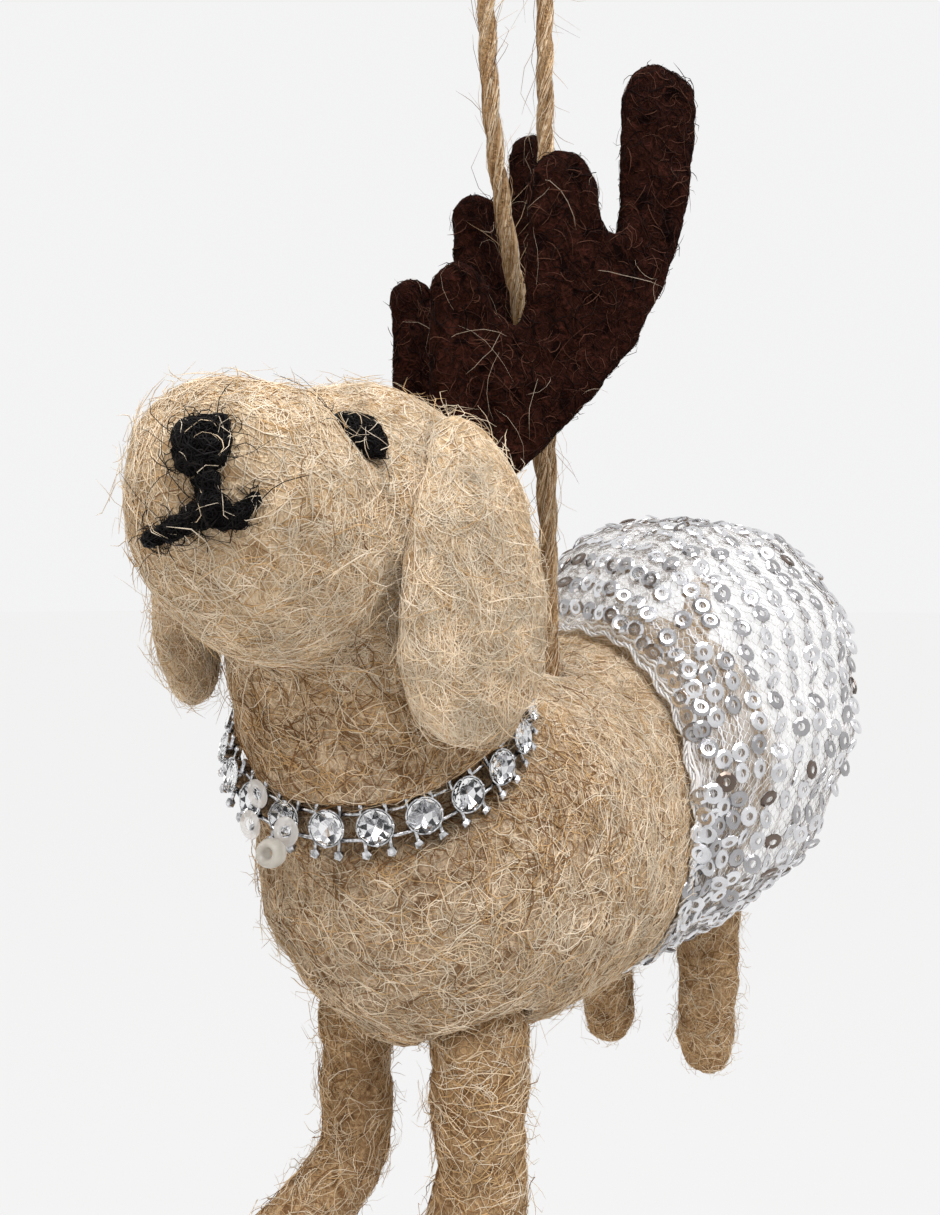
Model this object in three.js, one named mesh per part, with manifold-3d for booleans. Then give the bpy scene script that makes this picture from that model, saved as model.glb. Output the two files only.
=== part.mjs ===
// A needle-felted dog made as a hanging ornament: wool body, head, ears and wire-cored legs,
// felt antlers, a rhinestone cup-chain collar, a sequined net skirt and a twine loop.
// Millimetres. The dog faces -Y, its left side is +X and +Z is up. The pieces are drawn
// above the ground plane that the feet touch, and the whole is then hung from its loop.
import * as THREE from 'three';
import { mergeVertices } from 'three/addons/utils/BufferGeometryUtils.js';
import Module from 'manifold-3d';

const wasm = await Module();
wasm.setup();

const deg = Math.PI / 180;

// Clearances
const feltGap = 0.3;        // between two pieces of wool, felt or cloth that touch
const stoneGap = 0.12;      // between a stone and its metal cup
const cutOverrun = 2;       // how far a cutter runs past what it cuts
const weldShare = 1e-6;     // share of a piece's own size at which two vertices are one

// Torso
const torsoLength = 90;
const torsoWidth = 40;
const torsoHeight = 44;
const torsoFrontY = -15.6;
const bellyZ = 23;
const backZ = bellyZ + torsoHeight;
const torsoSides = 26;

// Neck
const neckWidth = 31.6;
const neckDepth = 30.4;
const neckSink = 27;
const neckFootY = 2;
const neckFoot = new THREE.Vector3(0, neckFootY, backZ - neckSink);
const neckHeight = 40;
const neckForward = 13.4;
const neckSides = 20;

// Head
const skullLength = 31.4;
const skullForward = 1.1;
const skullWidth = 29.4;
const skullHeight = 27;
const headLeft = 1.3;
const headY = -11;
const headRise = 14;
const skullCentre = new THREE.Vector3(headLeft, headY, backZ + headRise);
const headYaw = 12 * deg;
const headSides = 22;

// Muzzle
const muzzleLength = 28.4;
const muzzleWidth = 23.4;
const muzzleHeight = 24;
const muzzleRise = 4.9;
const muzzleDrop = 3.1;
const muzzleSides = 20;

// Nose, mouth and eyes
const faceRoll = -12 * deg;
const faceTurn = 17 * deg;
const faceCentreForward = 16;
const faceCentreRise = 0.4;
const noseWidth = 4.9;
const noseHeight = 5;
const noseThickness = 2.6;
const noseElevation = 16.5 * deg;
const mouthThickness = 2.4;
const lipThickness = 1.9;
const mouthSplitElevation = -5 * deg;
const leftMouthCorner = 13.5 * deg;
const rightMouthCorner = 31.5 * deg;
const leftCornerDrop = 6 * deg;
const rightCornerDrop = 11 * deg;
const leftLipSag = 12.5 * deg;
const rightLipSag = 9 * deg;
const eyeWidth = 4.7;
const eyeHeight = 3.6;
const eyeThickness = 2.2;
const eyeAzimuth = 28.2 * deg;
const eyeElevation = 23 * deg;

// Ears
const leftEarLength = 28.5;
const rightEarLength = 26;
const earWidth = 14;
const earThickness = 4.6;
const earHingeRadius = 1.9;
const earRise = 7.8;
const earOut = 12.9;
const earForward = 4.6;
const earFlare = 4.2;
const earTurn = 30 * deg;
const earSwing = 50 * deg;
const earSides = 18;

// Antlers
const antlerThickness = 3.4;
const antlerEdge = 0.9;
const antlerWidth = 32.7;
const antlerHeight = 42;
const antlerSeat = 7;
const antlerSpacing = 6.4;
const leftAntlerBack = 5.6;
const rightAntlerBack = 8.4;
const antlerBaseRise = 11.1;
const rightAntlerRaise = 1;
const antlerBaseLeft = 0.3;
const leftAntlerBearing = 57 * deg;
const rightAntlerBearing = 86 * deg;
const antlerLean = 1.5 * deg;

// Legs
const frontLegThickness = 10.6;
const rightFrontLegThickness = 9;
const rearLegThickness = 10.2;
const rightRearLegThickness = 9.6;
const hipSwell = 0.45;
const frontHipSpread = 17;
const rearHipSpread = 17.6;
const frontHipY = 0;
const rearHipY = 61;
const frontHipZ = 28;
const rearHipZ = 30.5;
const pawReach = 13.5;
const pawRise = 4.8;
const legSwing = 15 * deg;
const legSides = 10;
const wireDiameter = 1.5;
const wireSides = 6;
const wireFootCover = 3.6;

// Tail
const tailLength = 13;
const tailThickness = 6.4;
const tailRootDrop = 1;
const tailRootY = 65;
const tailSides = 12;

// Skirt
const skirtWall = 0.7;
const skirtWidth = 51.5;
const skirtPuff = 18.5;
const skirtTopZ = backZ + skirtPuff;
const skirtBottomZ = 23.2;
const skirtFrontY = 33.6;
const skirtRearY = 75.6;
const skirtHemBottomY = 56;
const skirtTurn = -15 * deg;
const skirtTurnY = 41;
const skirtSide = 0.8;
const skirtSteps = 36;
const skirtFlutes = 11;
const skirtFluteDepth = 0.5;
const waistbandThickness = 2;
const waistbandSteps = 28;

// Collar
const collarRadius = 15.3;
const collarRight = 1;
const collarY = -5.3;
const collarDrop = 5.7;
const collarCentre = new THREE.Vector3(-collarRight, collarY, backZ - collarDrop);
const collarTilt = 34 * deg;
const collarRoll = 13.5 * deg;
const cupLean = 36 * deg;
const stoneCount = 22;
const stoneDiameter = 3;
const stoneCrown = 0.7;
const stonePavilion = 1.05;
const cupWall = 0.2;
const cupDepth = 1.7;
const clawSize = 0.5;
const clawLength = 1.3;
const clawBallRadius = 0.48;
const linkWire = 0.5;
const linkSpacing = 2.5;
const beadDiameter = 3;
const beadHole = 0.8;
const collarSequinDiameter = 3.3;
const collarSequinHole = 0.9;
const collarSequinThickness = 0.4;
const clusterAngle = 3 * deg;
const collarSeatGap = 0.35;

// Twine
const twineDiameter = 2.1;
const twineSides = 8;
const twineExitLeft = 2.5;
const twineExitY = 24.1;
const twineExitDrop = 2;
const twineExit = new THREE.Vector3(twineExitLeft, twineExitY, backZ - twineExitDrop);
const twineStrandGap = 0.4;
const knotDiameter = 6.4;
const knotDepth = 15;
const knotZ = twineExit.z - knotDepth;
const loopRadius = 6.3;
const loopRise = 90;
const loopTopZ = twineExit.z + loopRise;
const loopX = 4.6;
const loopY = 13;

// Colours
const wool = { color: 0xd9c4a0, roughness: 1, metalness: 0 };
const darkWool = { color: 0x16120f, roughness: 1, metalness: 0 };
const antlerFelt = { color: 0x2e1611, roughness: 1, metalness: 0 };
const net = { color: 0xe4e4e8, roughness: 0.5, metalness: 0.2 };
const silver = { color: 0xc9c9cc, roughness: 0.25, metalness: 1 };
const crystal = { color: 0xf2f5f8, roughness: 0.05, metalness: 0 };
const milky = { color: 0xe9e4d8, roughness: 0.3, metalness: 0 };
const jute = { color: 0xb08d62, roughness: 0.9, metalness: 0 };
const steel = { color: 0x8f9092, roughness: 0.4, metalness: 1 };

const vec = (x, y, z) => new THREE.Vector3(x, y, z);

// A closed mesh as a solid that can be cut and joined
function solidOf(geometry) {
  const bare = geometry.clone();
  bare.deleteAttribute('normal');
  bare.deleteAttribute('uv');
  bare.computeBoundingSphere();
  const merged = mergeVertices(bare, bare.boundingSphere.radius * weldShare);
  return new wasm.Manifold(new wasm.Mesh({
    numProp: 3,
    vertProperties: new Float32Array(merged.attributes.position.array),
    triVerts: new Uint32Array(merged.index.array),
  }));
}

// A solid as a mesh again
function geometryOf(solid) {
  const mesh = solid.getMesh();
  const stride = mesh.numProp;
  const count = mesh.vertProperties.length / stride;
  const places = new Float32Array(count * 3);
  for (let i = 0; i < count; i += 1) {
    places.set(mesh.vertProperties.slice(i * stride, i * stride + 3), i * 3);
  }
  const geometry = new THREE.BufferGeometry();
  geometry.setAttribute('position', new THREE.BufferAttribute(places, 3));
  geometry.setIndex(Array.from(mesh.triVerts));
  geometry.computeVertexNormals();
  return geometry;
}

function cut(geometry, ...cutters) {
  let solid = solidOf(geometry);
  for (const cutter of cutters) solid = solid.subtract(solidOf(cutter));
  return geometryOf(solid);
}

function join(...geometries) {
  let solid = solidOf(geometries[0]);
  for (const other of geometries.slice(1)) solid = solid.add(solidOf(other));
  return geometryOf(solid);
}

// Only the largest body of a cut solid, without crumbs
function largestOf(geometry) {
  const bodies = solidOf(geometry).decompose();
  bodies.sort((a, b) => b.volume() - a.volume());
  return geometryOf(bodies[0]);
}

function volumeOf(geometry) {
  const p = geometry.attributes.position;
  const index = geometry.index;
  let total = 0;
  for (let i = 0; i < index.count; i += 3) {
    const a = vec().fromBufferAttribute(p, index.getX(i));
    const b = vec().fromBufferAttribute(p, index.getX(i + 1));
    const c = vec().fromBufferAttribute(p, index.getX(i + 2));
    total += a.dot(b.cross(c)) / 6;
  }
  return total;
}

function facingOut(geometry) {
  if (volumeOf(geometry) < 0) {
    const index = Array.from(geometry.index.array);
    for (let i = 0; i < index.length; i += 3) [index[i], index[i + 1]] = [index[i + 1], index[i]];
    geometry.setIndex(index);
  }
  geometry.computeVertexNormals();
  return geometry;
}

// A skin over closed rings, drawn to a point at each end
function skin(rings, firstPole, lastPole) {
  const sides = rings[0].length;
  const points = [firstPole, ...rings.flat(), lastPole];
  const faces = [];
  const at = (ring, side) => 1 + ring * sides + (side % sides);
  for (let k = 0; k < sides; k += 1) {
    faces.push(0, at(0, k + 1), at(0, k));
    faces.push(points.length - 1, at(rings.length - 1, k), at(rings.length - 1, k + 1));
    for (let r = 0; r < rings.length - 1; r += 1) {
      faces.push(at(r, k), at(r, k + 1), at(r + 1, k + 1));
      faces.push(at(r, k), at(r + 1, k + 1), at(r + 1, k));
    }
  }
  const geometry = new THREE.BufferGeometry().setFromPoints(points);
  geometry.setIndex(faces);
  return facingOut(geometry);
}

// A skin whose rows of rings close on themselves, such as a wall round an open tube
function closedSkin(rings) {
  const sides = rings[0].length;
  const faces = [];
  const at = (ring, side) => (ring % rings.length) * sides + (side % sides);
  for (let r = 0; r < rings.length; r += 1) {
    for (let k = 0; k < sides; k += 1) {
      faces.push(at(r, k), at(r, k + 1), at(r + 1, k + 1));
      faces.push(at(r, k), at(r + 1, k + 1), at(r + 1, k));
    }
  }
  const geometry = new THREE.BufferGeometry().setFromPoints(rings.flat());
  geometry.setIndex(faces);
  return facingOut(geometry);
}

function ring(centre, across, up, halfWidth, halfHeight, sides) {
  const points = [];
  for (let k = 0; k < sides; k += 1) {
    const turn = (k / sides) * 2 * Math.PI;
    points.push(centre.clone()
      .addScaledVector(across, halfWidth * Math.cos(turn))
      .addScaledVector(up, halfHeight * Math.sin(turn)));
  }
  return points;
}

// The same shape with its surface moved out by a gap
function grown(geometry, gap) {
  const copy = geometry.clone();
  copy.computeBoundingBox();
  const centre = copy.boundingBox.getCenter(vec());
  const half = copy.boundingBox.getSize(vec()).multiplyScalar(0.5);
  copy.translate(-centre.x, -centre.y, -centre.z);
  copy.scale(1 + gap / half.x, 1 + gap / half.y, 1 + gap / half.z);
  copy.translate(centre.x, centre.y, centre.z);
  return copy;
}

function placed(geometry, matrix) {
  return geometry.clone().applyMatrix4(matrix);
}

// A round limb along a smooth path, with a radius at each of its points and round ends.
// The direction across is one that the path never takes.
function limb(path, radii, sides, steps, across) {
  const curve = new THREE.CatmullRomCurve3(path);
  const radiusCurve = new THREE.CatmullRomCurve3(radii.map((r, i) => vec(i, r, 0)));
  const radiusAt = (share) => radiusCurve.getPoint(share).y;
  const rings = [];
  const addRing = (share, radius, ahead) => {
    const along = curve.getTangent(share);
    const side = across.clone().addScaledVector(along, -across.dot(along)).normalize();
    const place = curve.getPoint(share).addScaledVector(along, ahead);
    rings.push(ring(place, side, vec().crossVectors(along, side), radius, radius, sides));
  };
  const capShares = [0.42, 0.78];
  const domed = (share) => Math.sqrt(1 - share * share);
  for (const share of capShares) addRing(0, radiusAt(0) * share, -radiusAt(0) * domed(share));
  for (let i = 0; i <= steps; i += 1) addRing(i / steps, radiusAt(i / steps), 0);
  for (const share of capShares.reverse()) {
    addRing(1, radiusAt(1) * share, radiusAt(1) * domed(share));
  }
  const first = curve.getPoint(0).addScaledVector(curve.getTangent(0), -radiusAt(0));
  const last = curve.getPoint(1).addScaledVector(curve.getTangent(1), radiusAt(1));
  return skin(rings, first, last);
}

function ellipsoid(width, depth, height, segments) {
  const ball = new THREE.SphereGeometry(1, segments, Math.round(segments * 0.6));
  return ball.scale(width / 2, depth / 2, height / 2);
}

// Torso: a felted lump that is deepest behind the front legs, dips where the twine leaves
// the back and swells again over the rump. Shares: along, centre height, width, height.
const torsoShares = [
  [0.013, 0.52, 0.3, 0.29],
  [0.049, 0.51, 0.66, 0.62],
  [0.119, 0.49, 0.89, 0.83],
  [0.226, 0.474, 0.99, 0.9],
  [0.356, 0.474, 1, 0.935],
  [0.431, 0.475, 0.985, 0.94],
  [0.48, 0.48, 0.975, 0.95],
  [0.539, 0.515, 0.985, 0.985],
  [0.61, 0.555, 1, 1],
  [0.72, 0.59, 1, 1],
  [0.83, 0.6, 0.95, 0.955],
  [0.91, 0.6, 0.81, 0.81],
  [0.963, 0.6, 0.58, 0.59],
  [0.991, 0.6, 0.3, 0.31],
];

function torsoCentre(along, rise) {
  return vec(0, torsoFrontY + along * torsoLength, bellyZ + rise * torsoHeight);
}

function torsoBlank() {
  const rings = torsoShares.map(([along, rise, width, height]) => ring(
    torsoCentre(along, rise), vec(1, 0, 0), vec(0, 0, 1),
    width * torsoWidth / 2, height * torsoHeight / 2, torsoSides));
  const first = torsoShares[0];
  const last = torsoShares[torsoShares.length - 1];
  return skin(rings, torsoCentre(0, first[1]), torsoCentre(1, last[1]));
}

// Neck: rises from the chest and leans forward into the head.
// Shares: up the neck, forward, width and depth.
const neckShares = [
  [0.03, 0, 0.55],
  [0.14, 0.12, 0.79],
  [0.29, 0.33, 0.925],
  [0.44, 0.51, 1],
  [0.57, 0.62, 1],
  [0.72, 0.75, 0.975],
  [0.86, 0.89, 0.93],
  [0.97, 0.98, 0.7],
];

function neckPoint(up, forward) {
  return neckFoot.clone().add(vec(up * skullCentre.x, -forward * neckForward, up * neckHeight));
}

function neckBlank() {
  const axis = neckPoint(1, 1).sub(neckPoint(0, 0)).normalize();
  const across = vec(1, 0, 0);
  const back = vec().crossVectors(axis, across).normalize();
  const rings = neckShares.map(([up, forward, size]) => ring(
    neckPoint(up, forward), across, back, size * neckWidth / 2, size * neckDepth / 2, neckSides));
  return skin(rings, neckPoint(0, 0), neckPoint(1, 1));
}

// Head frame: origin in the middle of the skull, -Y towards the nose
const headMatrix = new THREE.Matrix4().makeRotationZ(headYaw).setPosition(skullCentre);

// Skull shares: along from the back, width, height
const skullShares = [
  [0.03, 0.36, 0.34],
  [0.1, 0.62, 0.6],
  [0.2, 0.81, 0.81],
  [0.38, 0.985, 0.985],
  [0.5, 1, 1],
  [0.62, 0.985, 0.98],
  [0.78, 0.86, 0.84],
  [0.9, 0.62, 0.61],
  [0.97, 0.34, 0.34],
];

function skullBlank() {
  const place = (along) => vec(0, skullLength * (0.5 - along) - skullForward, 0);
  const rings = skullShares.map(([along, width, height]) => ring(
    place(along), vec(1, 0, 0), vec(0, 0, 1),
    width * skullWidth / 2, height * skullHeight / 2, headSides));
  return skin(rings, place(0), place(1));
}

// Muzzle shares: along from inside the skull, rise of the middle, width, height
const muzzleShares = [
  [0.03, 0, 0.5, 0.5],
  [0.2, 0.06, 0.72, 0.78],
  [0.36, 0.15, 0.85, 0.91],
  [0.5, 0.3, 0.9, 0.98],
  [0.64, 0.46, 0.88, 0.98],
  [0.77, 0.64, 0.8, 0.88],
  [0.87, 0.8, 0.66, 0.71],
  [0.95, 0.93, 0.43, 0.46],
  [0.99, 0.99, 0.19, 0.2],
];

function muzzleBlank() {
  const place = (along, rise) => vec(0, -muzzleLength * along, rise * muzzleRise - muzzleDrop);
  const rings = muzzleShares.map(([along, rise, width, height]) => ring(
    place(along, rise), vec(1, 0, 0), vec(0, 0, 1),
    width * muzzleWidth / 2, height * muzzleHeight / 2, muzzleSides));
  return skin(rings, place(0, 0), place(1, 1));
}

const torsoForm = torsoBlank();
const neckForm = neckBlank();
const skullForm = skullBlank();
const muzzleForm = muzzleBlank();
const skullHere = placed(skullForm, headMatrix);
const muzzleHere = placed(muzzleForm, headMatrix);

// The point where a ray from inside a form leaves it
function surfacePoint(form, from, direction) {
  const target = new THREE.Mesh(form, new THREE.MeshBasicMaterial({ side: THREE.DoubleSide }));
  const hits = new THREE.Raycaster(from, direction.clone().normalize()).intersectObject(target);
  return hits[hits.length - 1].point;
}

// A direction in the head frame, from its turn to the left and its rise
function headDirection(azimuth, elevation) {
  const flat = Math.cos(elevation);
  return vec(flat * Math.sin(azimuth), -flat * Math.cos(azimuth), Math.sin(elevation));
}

const faceCentre = vec(0, -faceCentreForward, faceCentreRise);

// A direction on the face, which sits a little askew on the muzzle
function faceDirection(azimuth, elevation) {
  return headDirection(azimuth, elevation).applyAxisAngle(vec(0, 1, 0), faceRoll)
    .applyAxisAngle(vec(0, 0, 1), faceTurn);
}

// A flat pad of wool centred on the surface, with its height along the head's up
function padOn(form, from, direction, width, thickness, height, segments, roll = 0) {
  const place = surfacePoint(form, from, direction);
  const outward = direction.clone().normalize();
  const side = vec().crossVectors(outward, vec(0, 0, 1)).normalize().negate();
  side.applyAxisAngle(outward, roll);
  const up = vec().crossVectors(side, outward).normalize();
  const frame = new THREE.Matrix4().makeBasis(side, outward, up).setPosition(place);
  return ellipsoid(width, thickness, height, segments).applyMatrix4(frame);
}

const skullGrown = grown(skullForm, feltGap);
const muzzleGrown = grown(muzzleForm, feltGap);

const noseBlank = padOn(muzzleForm, faceCentre, faceDirection(0, noseElevation),
  noseWidth, noseThickness, noseHeight, 12, faceRoll);

// Mouth: a stem from under the nose that splits into two lips round the muzzle
function mouthLine() {
  const spot = (azimuth, elevation) => surfacePoint(muzzleForm, faceCentre,
    faceDirection(azimuth, elevation));
  const split = spot(0, mouthSplitElevation);
  const stem = limb([spot(0, noseElevation * 0.5), spot(0, noseElevation * 0.15), split],
    [mouthThickness / 2, mouthThickness / 2, mouthThickness / 2], 6, 3, vec(0, 1, 0));
  const corners = [
    [leftMouthCorner, leftCornerDrop, leftLipSag],
    [-rightMouthCorner, rightCornerDrop, rightLipSag],
  ];
  const lips = corners.map(([azimuth, drop, sag]) => limb([
    split,
    spot(azimuth * 0.45, -sag),
    spot(azimuth, -drop),
  ], [mouthThickness / 2, lipThickness / 2, lipThickness * 0.4], 6, 5, vec(0, 1, 0)));
  const line = join(stem, ...lips);
  return largestOf(cut(line, muzzleGrown, grown(noseBlank, feltGap)));
}

function eyePad(side) {
  const direction = headDirection(side * eyeAzimuth, eyeElevation);
  const pad = padOn(skullForm, vec(0, 0, 0), direction, eyeWidth, eyeThickness, eyeHeight, 12);
  return largestOf(cut(pad, skullGrown, muzzleGrown));
}

// Ear: a soft leaf that hangs from a seam on the side of the head.
// Shares: down the ear, flare outwards, width, thickness.
const earShares = [
  [0, 0, 0.42, 0.8],
  [0.08, 0.36, 0.56, 0.9],
  [0.2, 0.72, 0.76, 1],
  [0.36, 0.96, 0.9, 1],
  [0.54, 1, 0.98, 1],
  [0.72, 0.95, 1, 0.98],
  [0.84, 0.88, 0.88, 0.88],
  [0.93, 0.82, 0.64, 0.68],
  [0.98, 0.8, 0.36, 0.4],
];

// The seam of an ear, in the frame of the whole dog
function earSeam(side) {
  return vec(side * earOut, -earForward, earRise).applyMatrix4(headMatrix);
}

// The way an ear faces, and the line of its seam
function earAxes(side) {
  const outward = vec(side, 0, 0).applyAxisAngle(vec(0, 0, 1), -side * earTurn);
  return { outward, across: vec().crossVectors(vec(0, 0, 1), outward) };
}

function earBlank(side) {
  const { outward, across } = earAxes(side);
  const seam = earSeam(side);
  const length = side > 0 ? leftEarLength : rightEarLength;
  const place = (down, flare) => seam.clone()
    .addScaledVector(outward, flare * earFlare)
    .add(vec(0, 0, -down * length));
  const rings = earShares.map(([down, flare, width, thickness]) => ring(
    place(down, flare), across, outward,
    width * earWidth / 2, thickness * earThickness / 2, earSides));
  const top = seam.clone().add(vec(0, 0, earHingeRadius));
  return skin(rings, top, place(1, earShares[earShares.length - 1][1]));
}

// The skull as the lifted ear meets it, which keeps the ear's root clear as it swings
function earRooms(side) {
  const seam = earSeam(side);
  const { across } = earAxes(side);
  const steps = 4;
  const rooms = [];
  for (let i = 1; i <= steps; i += 1) {
    const turn = new THREE.Matrix4().makeRotationAxis(across, earSwing * (i / steps));
    const back = new THREE.Matrix4().makeTranslation(seam)
      .multiply(turn)
      .multiply(new THREE.Matrix4().makeTranslation(seam.clone().negate()));
    rooms.push(placed(grown(skullHere, feltGap), back));
  }
  return rooms;
}

function earPiece(side) {
  return largestOf(cut(earBlank(side), grown(skullHere, feltGap), grown(muzzleHere, feltGap),
    grown(neckForm, feltGap), ...earRooms(side)));
}

// Antler: a palm with three round-ended tines, cut from thick felt.
// Shares of the antler's width and height: tip centre and half width of each tine.
const tineShares = [
  { along: 0.127, up: 0.32, half: 0.103 },
  { along: 0.49, up: 0.62, half: 0.13 },
  { along: 0.855, up: 0.88, half: 0.148 },
];
const notchShares = [
  { along: 0.33, up: 0.262 },
  { along: 0.695, up: 0.525 },
];

function antlerOutline() {
  const shape = new THREE.Shape();
  const at = (along, up) => [along * antlerWidth, up * antlerHeight];
  const seat = -antlerSeat / antlerHeight;
  shape.moveTo(...at(0.04, seat));
  shape.lineTo(...at(0.024, 0.1));
  tineShares.forEach(({ along, up, half }, i) => {
    const [x, y] = at(along, up);
    const radius = half * antlerWidth;
    if (i > 0) {
      const notch = notchShares[i - 1];
      shape.quadraticCurveTo(x - radius, notch.up * antlerHeight, x - radius, y);
    }
    shape.absarc(x, y, radius, Math.PI, 0, true);
    if (i < notchShares.length) {
      const notch = notchShares[i];
      const [nx, ny] = at(notch.along, notch.up);
      shape.quadraticCurveTo(x + radius, ny, nx, ny);
    }
  });
  shape.bezierCurveTo(...at(1.01, 0.44), ...at(0.77, 0.17), ...at(0.36, -0.11));
  shape.quadraticCurveTo(...at(0.3, seat), ...at(0.2, seat));
  shape.closePath();
  return shape;
}

// The plate stands on edge: its width runs back along the bearing, its height up
function antlerMatrix(side, bearing, backward) {
  const raise = side > 0 ? 0 : rightAntlerRaise;
  const base = vec(antlerBaseLeft + side * antlerSpacing / 2, backward, antlerBaseRise + raise)
    .add(skullCentre);
  const back = vec(Math.cos(bearing), Math.sin(bearing), 0);
  const out = vec(Math.sin(bearing), -Math.cos(bearing), 0);
  const up = vec(0, 0, 1).applyAxisAngle(back, side * antlerLean);
  return new THREE.Matrix4().makeBasis(back, up, vec().crossVectors(back, up)).setPosition(base);
}

function antlerPiece(side, bearing, backward) {
  const plate = new THREE.ExtrudeGeometry(antlerOutline(), {
    depth: antlerThickness - 2 * antlerEdge,
    bevelEnabled: true,
    bevelThickness: antlerEdge,
    bevelSize: antlerEdge,
    bevelOffset: -antlerEdge,
    bevelSegments: 1,
    curveSegments: 5,
  });
  plate.translate(0, 0, antlerEdge - antlerThickness / 2);
  return largestOf(cut(plate.applyMatrix4(antlerMatrix(side, bearing, backward)),
    grown(skullHere, feltGap)));
}

// Legs: wool wound on a wire. Each has a path from the hip down and a radius on it.
// A paw bends forward by the reach given.
function legPath(hip, foot, thickness, reach) {
  const radius = thickness / 2;
  const footZ = radius * 0.98;
  const ankle = vec(foot.x, foot.y, footZ + reach * 0.42);
  const knee = hip.clone().lerp(ankle, 0.5);
  const toe = vec(foot.x, foot.y - reach, Math.min(footZ, pawRise));
  const path = reach > 0
    ? [hip, knee, ankle, ankle.clone().lerp(toe, 0.55).add(vec(0, 0, -reach * 0.07)), toe]
    : [hip, knee, vec(foot.x, foot.y, footZ)];
  const radii = reach > 0
    ? [radius + hipSwell, radius, radius * 0.96, radius, radius * 0.94]
    : [radius + hipSwell, radius, radius * 0.94];
  return { path, radii };
}

const legPlans = [
  {
    name: 'left_front', side: 1, thickness: frontLegThickness,
    hipY: frontHipY, hipZ: frontHipZ, spread: frontHipSpread,
    leftShare: 0.038, backShare: -0.094, reach: pawReach * 0.6,
  },
  {
    name: 'right_front', side: -1, thickness: rightFrontLegThickness,
    hipY: frontHipY, hipZ: frontHipZ, spread: frontHipSpread,
    leftShare: 0, backShare: -0.156, reach: pawReach,
  },
  {
    name: 'left_rear', side: 1, thickness: rearLegThickness,
    hipY: rearHipY, hipZ: rearHipZ, spread: rearHipSpread,
    leftShare: -0.039, backShare: -0.059, reach: 0,
  },
  {
    name: 'right_rear', side: -1, thickness: rightRearLegThickness,
    hipY: rearHipY, hipZ: rearHipZ, spread: rearHipSpread,
    leftShare: -0.021, backShare: 0.042, reach: 0,
  },
].map((plan) => {
  const hip = vec(plan.side * plan.spread / 2, plan.hipY, plan.hipZ);
  const foot = hip.clone()
    .add(vec(plan.leftShare * plan.thickness, plan.backShare * plan.thickness, 0))
    .setZ(0);
  return { ...plan, hip, ...legPath(hip, foot, plan.thickness, plan.reach) };
});

function legBlank(plan) {
  return limb(plan.path, plan.radii, legSides, plan.reach > 0 ? 11 : 7, vec(1, 0, 0));
}

// The wire stops short of the foot and ends flush with the top of the hip
function wirePath(plan) {
  const curve = new THREE.CatmullRomCurve3(plan.path);
  const stopShare = 1 - wireFootCover / curve.getLength();
  const points = [];
  const spans = 8;
  for (let i = 0; i <= spans; i += 1) points.push(curve.getPointAt((i / spans) * stopShare));
  points[0] = plan.hip.clone().add(vec(0, 0, plan.radii[0] * 0.6));
  return points;
}

function wireBlank(plan, grow = 0, overrun = 0) {
  const points = wirePath(plan);
  points[0] = points[0].clone().add(vec(0, 0, overrun));
  const radius = wireDiameter / 2 + grow;
  return limb(points, points.map(() => radius), wireSides, plan.reach > 0 ? 9 : 5, vec(1, 0, 0));
}

function legPiece(plan) {
  return cut(legBlank(plan), wireBlank(plan, feltGap, plan.radii[0]));
}

// The room that a leg needs as it swings about its hip: a round seat over a widening bell
function hipRoom(plan) {
  const seat = plan.radii[0] + feltGap;
  const shaft = plan.radii[1] / Math.cos(legSwing) + feltGap;
  const depth = plan.hipZ - bellyZ + cutOverrun;
  const profile = [];
  const arcSteps = 5;
  for (let i = 0; i <= arcSteps; i += 1) {
    const turn = 90 * deg * (1 - i / arcSteps);
    profile.push(new THREE.Vector2(seat * Math.cos(turn), seat * Math.sin(turn)));
  }
  profile[0].x = 0;
  profile.push(new THREE.Vector2(Math.max(seat, shaft + depth * Math.tan(legSwing)), -depth));
  profile.push(new THREE.Vector2(0, -depth));
  return new THREE.LatheGeometry(profile.reverse(), 14).rotateX(90 * deg)
    .translate(plan.hip.x, plan.hip.y, plan.hip.z);
}

// Twine: both ends go down one hole in the back to a knot inside the body. The route is
// listed from the hole: up the front strand, and then down the rear strand.
const strandOffset = (twineDiameter + twineStrandGap) / 2;
const strandSide = vec(0.59 * strandOffset, -0.81 * strandOffset, 0);
const knotCentre = vec(twineExit.x, twineExit.y, knotZ);
const twineFootZ = knotZ + knotDiameter / 2 + feltGap;
const frontStrand = [
  vec(0.7, -1.2, 7), vec(0.7, -1.8, 16), vec(0.8, -3.2, 25), vec(1.2, -6.1, 33.5),
  vec(1.6, -9.2, 42), vec(1.9, -12.7, 51), vec(2.1, -15.5, 60), vec(2.1, -16.9, 69),
];
const rearStrand = [
  vec(1.9, -4.3, 65), vec(1.6, -3.6, 55), vec(1.2, -2.8, 45), vec(0.7, -1.8, 35),
  vec(0.1, -0.6, 25), vec(-0.4, 0.4, 15),
];

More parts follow.
